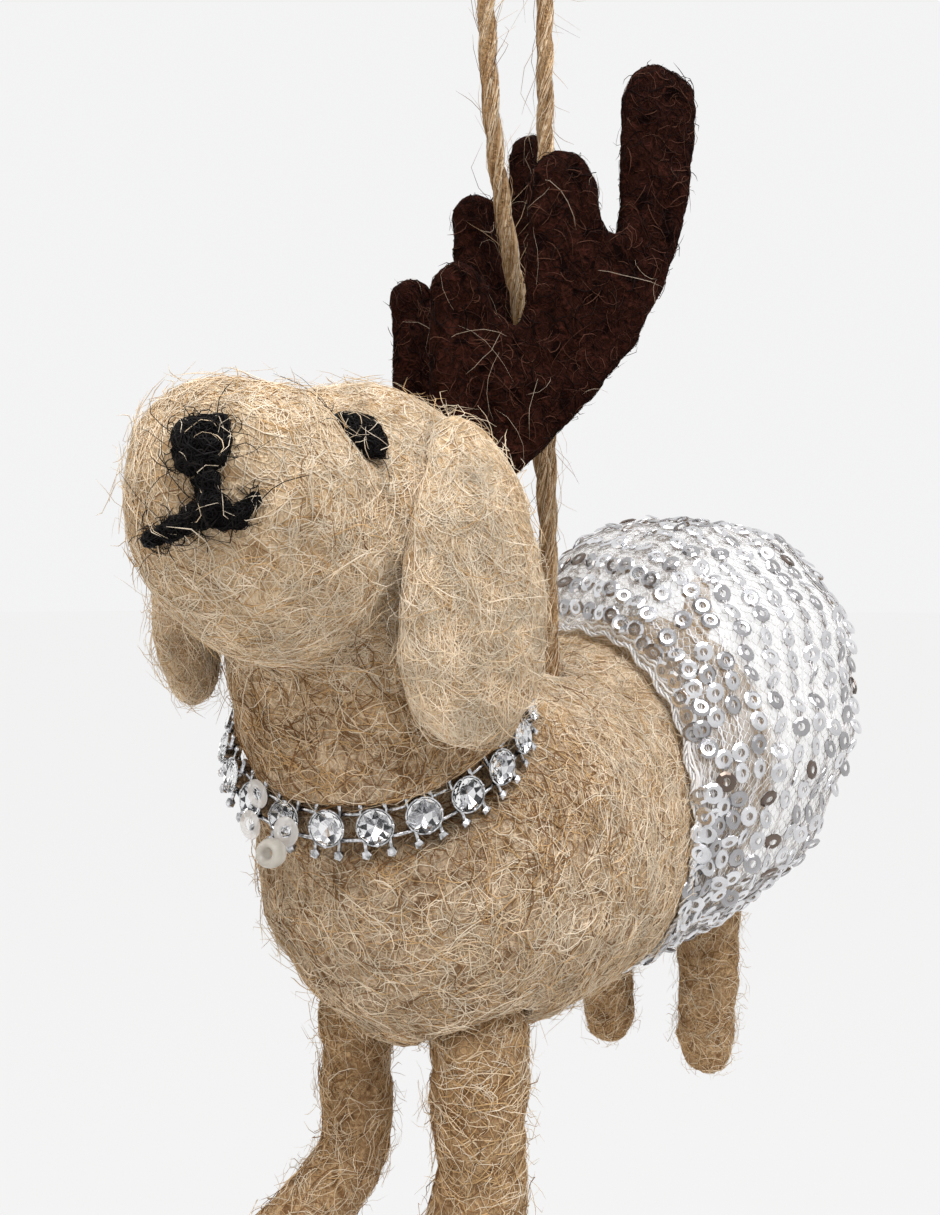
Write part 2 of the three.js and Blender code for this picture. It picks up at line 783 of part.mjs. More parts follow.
function twinePoints() {
  const fromHole = (p) => p.clone().add(twineExit);
  const front = twineExit.clone().add(strandSide);
  const rear = twineExit.clone().sub(strandSide);
  const midBoreZ = (twineExit.z + twineFootZ) / 2;
  const centreZ = loopTopZ - twineDiameter / 2 - loopRadius;
  const top = [];
  const turns = 6;
  for (let i = 0; i <= turns; i += 1) {
    const turn = Math.PI * (i / turns);
    top.push(vec(loopX, loopY - loopRadius * Math.cos(turn),
      centreZ + loopRadius * Math.sin(turn)));
  }
  return [
    vec(front.x, front.y, twineFootZ), vec(front.x, front.y, midBoreZ), front,
    ...frontStrand.map(fromHole),
    ...top,
    ...rearStrand.map(fromHole),
    rear, vec(rear.x, rear.y, midBoreZ), vec(rear.x, rear.y, twineFootZ),
  ];
}

function twineLoop() {
  const curve = new THREE.CatmullRomCurve3(twinePoints());
  const section = new THREE.Shape();
  for (let k = 0; k < twineSides; k += 1) {
    const turn = (k / twineSides) * 2 * Math.PI;
    const place = [twineDiameter / 2 * Math.cos(turn), twineDiameter / 2 * Math.sin(turn)];
    if (k === 0) section.moveTo(...place);
    else section.lineTo(...place);
  }
  section.closePath();
  const steps = Math.round(curve.getLength() / (2.4 * twineDiameter));
  return new THREE.ExtrudeGeometry(section, { extrudePath: curve, steps, bevelEnabled: false });
}

function knotPocket() {
  const boreRadius = strandOffset + twineDiameter / 2 + feltGap;
  const boreHeight = torsoHeight;
  const bore = new THREE.CylinderGeometry(boreRadius, boreRadius, boreHeight, 12)
    .rotateX(90 * deg)
    .translate(knotCentre.x, knotCentre.y, knotZ + boreHeight / 2);
  const pocket = ellipsoid(knotDiameter + 2 * feltGap, knotDiameter + 2 * feltGap,
    knotDiameter + 2 * feltGap, 12).rotateX(90 * deg)
    .translate(knotCentre.x, knotCentre.y, knotZ);
  return [pocket, bore];
}


// Collar frame: its axis leans forward and to the dog's left, and its zero angle is the front
const collarMatrix = new THREE.Matrix4()
  .makeRotationY(collarRoll)
  .premultiply(new THREE.Matrix4().makeRotationX(collarTilt))
  .setPosition(collarCentre);
const cupRadius = stoneDiameter / 2 + stoneGap + cupWall;
const cupBackRadius = cupRadius * 0.74;
const collarInnerRadius = collarRadius - cupDepth / 2;

// The room that the collar takes as it turns round the neck
function collarRoom() {
  const halfHeight = cupRadius + clawLength;
  const inner = collarInnerRadius - collarSeatGap;
  const outer = collarRadius + neckWidth;
  const profile = [
    new THREE.Vector2(inner, -halfHeight * 0.5),
    new THREE.Vector2(inner + cupDepth, -halfHeight),
    new THREE.Vector2(outer, -halfHeight - outer * 0.3),
    new THREE.Vector2(outer, halfHeight + outer * 0.3),
    new THREE.Vector2(inner + cupDepth, halfHeight),
    new THREE.Vector2(inner, halfHeight * 0.5),
    new THREE.Vector2(inner, -halfHeight * 0.5),
  ];
  return new THREE.LatheGeometry(profile, 28).rotateX(90 * deg).applyMatrix4(collarMatrix);
}

// The band that the chain itself sweeps, as it turns on the neck
function chainRoom() {
  const halfHeight = cupRadius + clawLength;
  const inner = collarInnerRadius - feltGap;
  const leanReach = cupRadius * Math.sin(cupLean);
  const outer = collarInnerRadius + cupDepth + stoneCrown + leanReach + feltGap;
  const profile = [
    new THREE.Vector2(inner, -halfHeight),
    new THREE.Vector2(outer, -halfHeight),
    new THREE.Vector2(outer, halfHeight),
    new THREE.Vector2(inner, halfHeight),
    new THREE.Vector2(inner, -halfHeight),
  ];
  return new THREE.LatheGeometry(profile, 28).rotateX(90 * deg).applyMatrix4(collarMatrix);
}

function torsoPiece() {
  return largestOf(cut(torsoForm, ...legPlans.map(hipRoom), ...knotPocket(), chainRoom()));
}

function neckPiece() {
  return largestOf(cut(neckForm, grown(torsoForm, feltGap), grown(skullHere, feltGap),
    grown(muzzleHere, feltGap), collarRoom()));
}

// A link's own frame: Y points out of the neck, Z up the collar, X round it. The collar slopes
// down at the front, and there the cups lean back to lie flat on the neck.
function linkMatrix(angle) {
  const outward = vec(Math.sin(angle), -Math.cos(angle), 0);
  const along = vec(Math.cos(angle), Math.sin(angle), 0);
  const lean = cupLean * (1 + Math.cos(angle)) / 2;
  const clear = cupBackRadius * Math.sin(lean) - (cupDepth / 2) * (1 - Math.cos(lean));
  return new THREE.Matrix4().makeBasis(along.negate(), outward, vec(0, 0, 1))
    .setPosition(outward.clone().multiplyScalar(collarInnerRadius + clear))
    .multiply(new THREE.Matrix4().makeTranslation(0, cupDepth / 2, 0))
    .multiply(new THREE.Matrix4().makeRotationX(lean))
    .multiply(new THREE.Matrix4().makeTranslation(0, -cupDepth / 2, 0));
}

// Cup: a tapered shell with a conical seat, two claws above the stone and two balls below
function cupGeometry() {
  const seatRadius = stoneDiameter / 2 + stoneGap;
  const profile = [
    new THREE.Vector2(0, 0),
    new THREE.Vector2(cupBackRadius, 0),
    new THREE.Vector2(cupRadius, cupDepth),
    new THREE.Vector2(seatRadius, cupDepth),
    new THREE.Vector2(0, cupDepth - stonePavilion - stoneGap),
  ];
  const cup = new THREE.LatheGeometry(profile, 8).rotateY(22.5 * deg);
  const clawAngles = [45 * deg, 135 * deg];
  const claws = clawAngles.map((angle) => new THREE.BoxGeometry(clawSize, clawSize, clawLength)
    .translate(0, cupDepth - clawSize * 0.65, cupRadius + clawLength * 0.2)
    .rotateY(angle - 90 * deg));
  const balls = clawAngles.map((angle) => new THREE.OctahedronGeometry(clawBallRadius, 0)
    .translate(0, cupDepth - clawBallRadius * 1.15, -cupRadius * 0.95)
    .rotateY(angle - 90 * deg));
  return join(cup, ...claws, ...balls);
}

function stoneGeometry() {
  const radius = stoneDiameter / 2;
  const profile = [
    new THREE.Vector2(0, -stonePavilion),
    new THREE.Vector2(radius, 0),
    new THREE.Vector2(radius * 0.62, stoneCrown),
    new THREE.Vector2(0, stoneCrown),
  ];
  return new THREE.LatheGeometry(profile, 8).rotateY(22.5 * deg).translate(0, cupDepth, 0);
}

// Two wires, one above the other, run from each cup to the next
function linkWires(index) {
  const turn = 2 * Math.PI / stoneCount;
  const from = linkMatrix(index * turn);
  const to = linkMatrix((index + 1) * turn);
  return [-1, 1].map((level) => {
    const side = cupRadius * 0.35;
    const a = vec(-side, cupDepth * 0.35, level * linkSpacing / 2).applyMatrix4(from);
    const b = vec(side, cupDepth * 0.35, level * linkSpacing / 2).applyMatrix4(to);
    const run = b.clone().sub(a);
    const bar = new THREE.CylinderGeometry(linkWire / 2, linkWire / 2, run.length(), 4);
    const level3 = vec(0, 0, 1);
    const along = run.clone().normalize();
    const frame = new THREE.Matrix4()
      .makeBasis(vec().crossVectors(along, level3), along, level3)
      .setPosition(a.add(b).multiplyScalar(0.5));
    return bar.applyMatrix4(frame);
  });
}

function collarChain() {
  const cup = cupGeometry();
  const pieces = [];
  for (let i = 0; i < stoneCount; i += 1) {
    pieces.push(placed(cup, linkMatrix(i * 2 * Math.PI / stoneCount)), ...linkWires(i));
  }
  return join(...pieces);
}

// Trim wired to the front of the collar: a round bead and three cup sequins
function beadGeometry(diameter, hole, thickness, steps) {
  const profile = [];
  for (let i = 0; i <= steps; i += 1) {
    const turn = Math.PI * (i / steps);
    const swell = (diameter - hole) / 4;
    profile.push(new THREE.Vector2(
      hole / 2 + swell - swell * Math.cos(Math.PI - turn * 2),
      thickness / 2 * Math.sin(Math.PI - turn * 2)));
  }
  return new THREE.LatheGeometry(profile, 12);
}

const clusterOut = cupDepth + stoneCrown + feltGap;
// Shares of a stone's width: round the collar, up its axis and out from the stones; then tip
const clusterShares = [
  { name: 'collar_bead', round: 0.055, rise: -0.82, out: 0.55, tip: 8 * deg, bead: true },
  { name: 'collar_sequin_1', round: 0.1, rise: -0.24, out: 0, tip: 2 * deg },
  { name: 'collar_sequin_2', round: -1.04, rise: 0.62, out: 0.15, tip: -10 * deg },
  { name: 'collar_sequin_3', round: -1.02, rise: -0.43, out: 0.16, tip: -5 * deg },
];

// Skirt: a tube of net gathered into a band round the waist. Its rows of sequins fan out
// over the rump: they lie close together under the belly and far apart above the tail.
// Shares: bottom and top of each row along Y, bottom and top height, width.
const skirtShares = [
  [0, 0.045, 0, 0.745, 0.84],
  [0.05, 0.06, 0, 0.83, 0.885],
  [0.14, 0.14, 0.005, 0.915, 0.925],
  [0.28, 0.27, 0.01, 0.972, 0.965],
  [0.46, 0.44, 0.02, 0.998, 1],
  [0.66, 0.64, 0.03, 1.003, 1],
  [0.85, 0.84, 0.04, 0.992, 0.98],
  [1, 1, 0.05, 0.95, 0.94],
];

const skirtMatrix = new THREE.Matrix4()
  .makeTranslation(skirtSide, skirtTurnY, 0)
  .multiply(new THREE.Matrix4().makeRotationZ(skirtTurn))
  .multiply(new THREE.Matrix4().makeTranslation(0, -skirtTurnY, 0));

function skirtRow(shares, inset, index, last) {
  const [low, high, bottom, top, width] = shares;
  const bottomY = skirtFrontY + low * (skirtHemBottomY - skirtFrontY);
  const topY = skirtFrontY + high * (skirtRearY - skirtFrontY);
  const topZ = skirtBottomZ + top * (skirtTopZ - skirtBottomZ);
  const bottomZ = skirtBottomZ + bottom * (skirtTopZ - skirtBottomZ);
  const centre = vec(0, (bottomY + topY) / 2, (bottomZ + topZ) / 2);
  const up = vec(0, topY - bottomY, topZ - bottomZ).multiplyScalar(0.5);
  const halfHeight = up.length();
  up.normalize();
  const fluteShare = index / last;
  const points = [];
  for (let k = 0; k < skirtSteps; k += 1) {
    const turn = (k / skirtSteps) * 2 * Math.PI;
    const flute = skirtFluteDepth * fluteShare * Math.cos(skirtFlutes * turn);
    points.push(centre.clone()
      .add(vec((width * skirtWidth / 2 + flute - inset) * Math.cos(turn), 0, 0))
      .addScaledVector(up, (halfHeight + flute - inset) * Math.sin(turn)));
  }
  return points;
}

function skirtForm() {
  const last = skirtShares.length - 1;
  const outer = skirtShares.map((row, i) => skirtRow(row, 0, i, last));
  const inner = skirtShares.map((row, i) => skirtRow(row, skirtWall, i, last)).reverse();
  return closedSkin([...outer, ...inner]).applyMatrix4(skirtMatrix);
}

function skirtPiece() {
  return largestOf(cut(skirtForm(), grown(torsoForm, feltGap), ...legPlans.map(hipRoom)));
}

function waistband() {
  const edge = skirtRow(skirtShares[0], skirtWall / 2, 0, 1);
  const bandShift = waistbandThickness / 2 + feltGap;
  const path = edge.map((p) => p.clone().add(vec(0, -bandShift, 0)));
  const curve = new THREE.CatmullRomCurve3(path, true);
  const rings = [];
  const frames = curve.computeFrenetFrames(waistbandSteps, true);
  for (let i = 0; i < waistbandSteps; i += 1) {
    rings.push(ring(curve.getPointAt(i / waistbandSteps), frames.normals[i], frames.binormals[i],
      waistbandThickness / 2, waistbandThickness / 2, 8));
  }
  const band = closedSkin(rings).applyMatrix4(skirtMatrix);
  return largestOf(cut(band, grown(torsoForm, feltGap)));
}

// Tail: a stub that curls up from the rump inside the skirt
function tailPiece() {
  const root = vec(0, tailRootY, backZ - tailRootDrop);
  const path = [
    root,
    root.clone().add(vec(0, tailLength * 0.42, tailLength * 0.06)),
    root.clone().add(vec(tailLength * 0.06, tailLength * 0.72, tailLength * 0.34)),
    root.clone().add(vec(tailLength * 0.12, tailLength * 0.66, tailLength * 0.74)),
  ];
  const radius = tailThickness / 2;
  const tail = limb(path, [radius, radius, radius * 0.82, radius * 0.55], tailSides, 8,
    vec(1, 0, 0));
  return largestOf(cut(tail, grown(torsoForm, feltGap)));
}

// Assembly
const ornament = new THREE.Group();
const dog = new THREE.Group();
dog.position.set(-loopX, -loopY, twineDiameter - loopTopZ);
ornament.add(dog);

function add(parent, name, geometry, look) {
  const mesh = new THREE.Mesh(geometry, new THREE.MeshStandardMaterial(look));
  mesh.name = name;
  parent.add(mesh);
  return mesh;
}

add(dog, 'torso', torsoPiece(), wool);
add(dog, 'neck', neckPiece(), wool);

const head = new THREE.Group();
head.position.copy(skullCentre);
head.rotation.z = headYaw;
dog.add(head);
add(head, 'head', skullForm, wool);
add(head, 'muzzle', largestOf(cut(muzzleForm, skullGrown)), wool);
add(head, 'nose', largestOf(cut(noseBlank, muzzleGrown)), darkWool);
add(head, 'mouth', mouthLine(), darkWool);
add(head, 'left_eye', eyePad(1), darkWool);
add(head, 'right_eye', eyePad(-1), darkWool);

add(dog, 'left_ear', earPiece(1), wool);
add(dog, 'right_ear', earPiece(-1), wool);
add(dog, 'left_antler', antlerPiece(1, leftAntlerBearing, leftAntlerBack), antlerFelt);
add(dog, 'right_antler', antlerPiece(-1, rightAntlerBearing, rightAntlerBack), antlerFelt);

for (const plan of legPlans) {
  add(dog, `${plan.name}_leg`, legPiece(plan), wool);
  add(dog, `${plan.name}_leg_wire`, wireBlank(plan), steel);
}

add(dog, 'tail', tailPiece(), wool);
add(dog, 'skirt', skirtPiece(), net);
add(dog, 'skirt_waistband', waistband(), net);

const collar = new THREE.Group();
collar.applyMatrix4(collarMatrix);
dog.add(collar);
add(collar, 'collar_chain', collarChain(), silver);
const stone = stoneGeometry();
for (let i = 0; i < stoneCount; i += 1) {
  const mesh = add(collar, `collar_stone_${String(i + 1).padStart(2, '0')}`, stone, crystal);
  mesh.applyMatrix4(linkMatrix(i * 2 * Math.PI / stoneCount));
}
for (const place of clusterShares) {
  const geometry = place.bead
    ? beadGeometry(beadDiameter, beadHole, beadDiameter * 0.72, 8)
    : beadGeometry(collarSequinDiameter, collarSequinHole, collarSequinThickness, 4);
  const mesh = add(collar, place.name, geometry, milky);
  const angle = clusterAngle + place.round * stoneDiameter / collarRadius;
  mesh.applyMatrix4(linkMatrix(angle)
    .multiply(new THREE.Matrix4().makeTranslation(
      0, clusterOut + place.out * stoneDiameter, place.rise * stoneDiameter))
    .multiply(new THREE.Matrix4().makeRotationX(place.tip)));
}

add(dog, 'twine_loop', twineLoop(), jute);
add(dog, 'twine_knot', ellipsoid(knotDiameter, knotDiameter, knotDiameter * 0.9, 12)
  .rotateX(90 * deg).translate(knotCentre.x, knotCentre.y, knotZ), jute);

export default ornament;
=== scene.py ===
import bpy
import math
import numpy as np
from mathutils import Matrix, Vector
from mathutils.bvhtree import BVHTree
from mathutils.kdtree import KDTree
from mathutils.noise import fractal


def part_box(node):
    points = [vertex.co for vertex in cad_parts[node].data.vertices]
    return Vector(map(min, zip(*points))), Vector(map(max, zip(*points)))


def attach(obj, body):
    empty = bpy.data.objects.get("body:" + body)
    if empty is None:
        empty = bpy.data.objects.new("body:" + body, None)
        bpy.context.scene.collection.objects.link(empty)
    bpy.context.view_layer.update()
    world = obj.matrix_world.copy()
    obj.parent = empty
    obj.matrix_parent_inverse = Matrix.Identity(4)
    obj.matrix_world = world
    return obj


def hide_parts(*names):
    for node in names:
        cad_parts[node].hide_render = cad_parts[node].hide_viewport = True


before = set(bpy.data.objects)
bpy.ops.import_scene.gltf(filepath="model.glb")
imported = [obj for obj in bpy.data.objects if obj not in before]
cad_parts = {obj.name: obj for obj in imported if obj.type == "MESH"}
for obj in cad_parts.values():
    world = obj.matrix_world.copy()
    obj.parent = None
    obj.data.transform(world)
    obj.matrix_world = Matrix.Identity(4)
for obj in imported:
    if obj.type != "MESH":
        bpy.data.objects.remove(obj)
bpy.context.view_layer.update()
mm = 0.001


# Camera. The photograph is taken from very near the dog's left front, level with its chin,
# so the perspective is strong. The lens fits a frame of 940 by 1215 pixels.
camera_place = Vector((65.3, -99.3, -79.9)) * mm
camera_bearing = math.radians(36)
focal_pixels = 1000
frame_height = 1215
horizon_lift = 3.5

bpy.ops.object.camera_add(location=camera_place, rotation=(math.pi / 2, 0, camera_bearing))
camera = bpy.context.object
camera.data.sensor_width = 36
camera.data.lens = camera.data.sensor_width * focal_pixels / frame_height
camera.data.shift_y = -horizon_lift / frame_height
camera.data.clip_start = 5 * mm
bpy.context.scene.camera = camera


# Twine. Two strands of three-ply jute leave one hole in the back, pass between the antlers
# and close in a loop that the hook holds taut. A knot inside the body holds both ends.
twine_width = 2.1 * mm
twine_exit = Vector((-2.1, 11.1, -87.9)) * mm
strand_gap = 0.4 * mm
loop_radius = 6.3 * mm
bore_depth = 11.5 * mm
ply_lay = 17 * mm
ply_offset, ply_radius, fibre_offset = twine_width * 0.25, twine_width * 0.27, twine_width * 0.26
knot_size, knot_radius = 0.7, 0.85 * mm
strand_side = Vector((0.59, -0.81, 0)) * (twine_width + strand_gap) / 2
front_strand = [(0.7, -1.2, 7), (0.7, -1.8, 16), (0.8, -3.2, 25), (1.2, -6.1, 33.5),
                (1.6, -9.2, 42), (1.9, -12.7, 51), (2.1, -15.5, 60), (2.1, -16.9, 69)]
rear_strand = [(1.9, -4.3, 65), (1.6, -3.6, 55), (1.2, -2.8, 45), (0.7, -1.8, 35),
               (0.1, -0.6, 25), (-0.4, 0.4, 15)]


def smooth_route(points, spacing):
    """Evenly spaced points on a smooth curve through the points given."""
    p = np.array([tuple(q) for q in points])
    p = np.concatenate([2 * p[:1] - p[1:2], p, 2 * p[-1:] - p[-2:-1]])
    t = np.linspace(0, 1, 24, endpoint=False)[:, None]
    spans = []
    for a, b, c, d in zip(p[:-3], p[1:-2], p[2:-1], p[3:]):
        spans.append(0.5 * (2 * b + (c - a) * t + (2 * a - 5 * b + 4 * c - d) * t ** 2
                            + (3 * b - a - 3 * c + d) * t ** 3))
    fine = np.concatenate(spans + [p[-2:-1]])
    run = np.concatenate([[0], np.cumsum(np.linalg.norm(np.diff(fine, axis=0), axis=1))])
    count = max(3, round(run[-1] / spacing))
    wanted = np.linspace(0, run[-1], count + 1)
    return np.stack([np.interp(wanted, run, fine[:, i]) for i in range(3)], axis=1)


def unit(v):
    return v / np.maximum(np.linalg.norm(v, axis=-1, keepdims=True), 1e-12)


def add_piece(name, mesh, materials=(), shade=None):
    """A new object for a mesh, with the material of each face given by its number."""
    for material in materials:
        mesh.materials.append(material)
    if shade is not None:
        mesh.polygons.foreach_set("material_index", np.asarray(shade).astype(np.int32))
    piece = bpy.data.objects.new(name, mesh)
    bpy.context.collection.objects.link(piece)
    return piece


def tube_mesh(name, paths, ups, radii, sides, materials, shade=None, flat=1.0):
    """One mesh of closed tubes. Paths and ups are tubes by points by three."""
    paths = np.asarray(paths, float)
    radii = np.broadcast_to(np.asarray(radii, float), paths.shape[:2])
    along = unit(np.gradient(paths, axis=1))
    side = unit(np.cross(ups, along))
    up = np.cross(along, side)
    turn = np.arange(sides) * math.tau / sides
    ring = (side[:, :, None] * np.cos(turn)[:, None]
            + up[:, :, None] * (np.sin(turn) * flat)[:, None])
    places = paths[:, :, None] + ring * radii[:, :, None, None]
    tubes, points = paths.shape[:2]
    start = (np.arange(tubes) * points * sides)[:, None, None]
    step = (np.arange(points - 1) * sides)[:, None]
    k = np.arange(sides)
    near = start + step + k
    near_next = start + step + (k + 1) % sides
    quads = np.stack([near, near_next, near_next + sides, near + sides], axis=-1)
    caps = np.concatenate([start[:, 0] + k[::-1], start[:, 0] + (points - 1) * sides + k])
    loops = np.concatenate([quads.ravel(), caps.ravel()])
    sizes = np.concatenate([np.full(quads.size // 4, 4), np.full(len(caps), sides)])
    mesh = bpy.data.meshes.new(name)
    mesh.vertices.add(places.size // 3)
    mesh.vertices.foreach_set("co", places.ravel())
    mesh.loops.add(len(loops))
    mesh.loops.foreach_set("vertex_index", loops.astype(np.int32))
    mesh.polygons.add(len(sizes))
    mesh.polygons.foreach_set("loop_start", (np.cumsum(sizes) - sizes).astype(np.int32))
    if shade is not None:
        shade = np.concatenate([np.repeat(shade, (points - 1) * sides), np.tile(shade, 2)])
    piece = add_piece(name, mesh, materials, shade)
    mesh.update(calc_edges=True)
    mesh.shade_smooth()
    return piece


def fill(tree, node, *values, **named):
    """Set up a node: its inputs take values or links, in order or by name, and names in small
    letters are its own settings."""
    for name in [n for n in named if n[0].islower()]:
        setattr(node, name, named.pop(name))
    inputs = list(zip(node.inputs, values))
    inputs += [(node.inputs[name.replace("_", " ")], value) for name, value in named.items()]
    for socket, value in inputs:
        if isinstance(value, bpy.types.NodeSocket):
            tree.links.new(value, socket)
        else:
            socket.default_value = value
    return node.outputs


def add_node(tree, kind, *values, **named):
    """A new shader node, set up by fill. It gives the node's outputs."""
    return fill(tree, tree.nodes.new(f"ShaderNode{kind}"), *values, **named)


def maths(tree, operation, *values):
    """The result of a maths node."""
    return add_node(tree, "Math", *values, operation=operation)["Value"]


def new_material(name):
    """A material with its node tree and its shader."""
    material = bpy.data.materials.new(name)
    material.use_nodes = True
    return material, material.node_tree, material.node_tree.nodes["Principled BSDF"]


def new_group(name, inputs, outputs):
    """An empty shader group, with what comes into it and what it has to give out."""
    group = bpy.data.node_groups.new(name, "ShaderNodeTree")
    for direction, sockets in (("INPUT", inputs), ("OUTPUT", outputs)):
        for label, kind in sockets.items():
            group.interface.new_socket(label, in_out=direction,
                                       socket_type=f"NodeSocket{kind}")
    return group, group.nodes.new("NodeGroupInput").outputs, group.nodes.new("NodeGroupOutput")


def soft_patches():
    """Shader group: a colour and a roughness that drift between two values."""
    group, given, out = new_group("soft_patches", {
        "Dark": "Color", "Light": "Color", "Smooth": "Float", "Rough": "Float",
        "Scale": "Float", "Vector": "Vector"}, {"Color": "Color", "Roughness": "Float"})
    patches = add_node(group, "TexNoise", Vector=given["Vector"], Scale=given["Scale"],
                       Detail=3)["Fac"]
    spread = add_node(group, "MapRange", Value=patches, From_Min=0.35, From_Max=0.65)["Result"]
    tone = add_node(group, "Mix", data_type="RGBA", Factor=spread, A=given["Dark"],
                    B=given["Light"])
    shine = add_node(group, "Mix", Factor=spread, A=given["Rough"], B=given["Smooth"])
    fill(group, out, Color=tone["Result"], Roughness=shine["Result"])
    return group


patch_group = soft_patches()


def patchy_material(name, colour, roughness, sheen=0.0, metallic=0.0, alpha=1.0, gloss=0.5,
                    vary=0.25, scale=300):
    """A hair, thread, metal or plastic whose shade and shine vary a little from place to
    place."""
    material, tree, shader = new_material(name)
    tone = add_node(tree, "Group", node_tree=patch_group,
                    Vector=add_node(tree, "TexCoord")["Object"],
                    Dark=(*[c * (1 - vary) for c in colour], 1), Light=(*colour, 1),
                    Smooth=roughness * 0.75, Rough=min(1.0, roughness * 1.35), Scale=scale)
    fill(tree, shader, Base_Color=tone["Color"], Roughness=tone["Roughness"],
         Specular_IOR_Level=gloss, Sheen_Weight=sheen, Sheen_Roughness=0.4,
         Metallic=metallic, Alpha=alpha)
    return material


def fibre_ground():
    """Shader group: matted fibres as curly pale lines over dark streaks, with their height. The
    dark streaks are painted shade between the fibres over the wool's own browner tone, and the
    needle pricks are painted dark as shade.
    """
    group, given, out = new_group("fibre_ground", {
        "Dark": "Color", "Light": "Color", "Scale": "Float", "Patch Scale": "Float",
        "Vector": "Vector"}, {"Color": "Color", "Height": "Float"})

    def noise(scale, detail, distortion, shift=(0, 0, 0)):
        moved = add_node(group, "VectorMath", given["Vector"], shift)["Vector"]
        return add_node(group, "TexNoise", Vector=moved, Scale=scale, Detail=detail,
                        Distortion=distortion)["Fac"]

    def coarser(share):
        return maths(group, "MULTIPLY", given["Scale"], share)

    def curls(share, shift):
        """Thin winding lines, where a soft noise passes its middle."""
        field = noise(coarser(share), 1, 1.2, shift)
        away = maths(group, "ABSOLUTE", maths(group, "SUBTRACT", field, 0.5))
        return add_node(group, "MapRange", Value=away, From_Max=0.045, To_Min=1,
                        To_Max=0)["Result"]

    # The dark streaks stand for painted shade in the gaps between the fibres
    streaks = noise(given["Scale"], 5, 3.5)
    patches = noise(given["Patch Scale"], 2, 0)
    ramp = add_node(group, "MapRange", Value=streaks, From_Min=0.38, From_Max=0.62)["Result"]
    lines = maths(group, "MAXIMUM", curls(0.55, (0.013, 0.002, 0.007)),
                  curls(0.85, (0.004, 0.011, 0.002)))
    shade = maths(group, "MULTIPLY_ADD", ramp, 0.4, maths(group, "MULTIPLY", patches, 0.3))
    shade = maths(group, "MULTIPLY_ADD", lines, 0.5, shade)
    # Needle pricks: small pits in the height, and painted shade in the colour
    pricks = noise(coarser(0.6), 1, 0.5, (0.021, 0.017, 0.005))
    dimples_and_shade = add_node(group, "MapRange", Value=pricks, From_Min=0.60, From_Max=0.68,
                       To_Min=1, To_Max=0.15)["Result"]
    colour = add_node(group, "Mix", data_type="RGBA",
                      Factor=maths(group, "MULTIPLY", shade, dimples_and_shade),
                      A=given["Dark"], B=given["Light"])
    height = maths(group, "MULTIPLY_ADD", dimples_and_shade, 0.7,
                   maths(group, "MULTIPLY_ADD", lines, 0.6, streaks))
    fill(group, out, Color=colour["Result"], Height=height)
    return group


fibre_group = fibre_ground()
fibre_scale = 900


def ground_material(name, dark, light, patch_scale, relief=0.2 * mm, gloss=0.2):
    """Matted wool, felt or jute under its loose fibres. Its darker colour fills the gaps between
    the fibres as painted shade.
    """
    material, tree, shader = new_material(name)
    fibres = add_node(tree, "Group", node_tree=fibre_group,
                      Vector=add_node(tree, "TexCoord")["Object"], Dark=(*dark, 1),
                      Light=(*light, 1), Scale=fibre_scale, Patch_Scale=patch_scale)
    bump = add_node(tree, "Bump", Distance=relief, Height=fibres["Height"])
    fill(tree, shader, Base_Color=fibres["Color"], Normal=bump["Normal"], Roughness=0.95,
         Specular_IOR_Level=gloss)
    return material


def twine_route():
    """Up from the knot, out of the back, over the loop's top and back down."""
    to_hole = [twine_exit + Vector(p) * mm for p in front_strand]
    from_hole = [twine_exit + Vector(p) * mm for p in rear_strand]
    front, rear = twine_exit + strand_side, twine_exit - strand_side
    down = Vector((0, 0, -bore_depth))
    middle = twine_width / 2 - loop_radius
    top = [Vector((0, -loop_radius * math.cos(a), middle + loop_radius * math.sin(a)))
           for a in (math.pi * i / 6 for i in range(7))]
    return [front + down, front + down / 2, front, *to_hole, *top, *from_hole,
            rear, rear + down / 2, rear + down]


def ply_frames(route):
    """Steady directions round a route, for what twists about it."""
    along = unit(np.gradient(route, axis=0))
    side = np.zeros_like(route)
    last = np.array([1.0, 0, 0])
    for i, t in enumerate(along):
        last = last - t * np.dot(last, t)
        last /= np.linalg.norm(last)
        side[i] = last
    return side, np.cross(along, side)


def twisted(frames, centre, run, ply, lay, offset):
    """One of three plies: its path round a centre line, and the way out at each point."""
    turn = (run / lay * math.tau + ply * math.tau / 3)[:, None]
    outward = frames[0] * np.cos(turn) + frames[1] * np.sin(turn)
    return centre + outward * offset, outward


route = smooth_route(twine_route(), 0.7 * mm)
route_run = np.linspace(0, 1, len(route)) * np.linalg.norm(np.diff(route, axis=0), axis=1).sum()
jute_ground = ground_material("jute_ground", (0.30, 0.17, 0.075), (0.62, 0.42, 0.23), 260)
jute_shades = [patchy_material("jute_pale", (0.90, 0.74, 0.54), 0.6, 0.1, gloss=0.3),
               patchy_material("jute_straw", (0.62, 0.42, 0.24), 0.6, 0.1, gloss=0.3),
               patchy_material("jute_brown", (0.24, 0.125, 0.055), 0.7, gloss=0.2)]
plies = [twisted(ply_frames(route), route, route_run, i, ply_lay, ply_offset)
         for i in range(3)]
twine = tube_mesh("jute_twine", [p for p, _ in plies], [u for _, u in plies], ply_radius, 9,
                  [jute_ground])
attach(twine, "dog")
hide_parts("twine_loop")


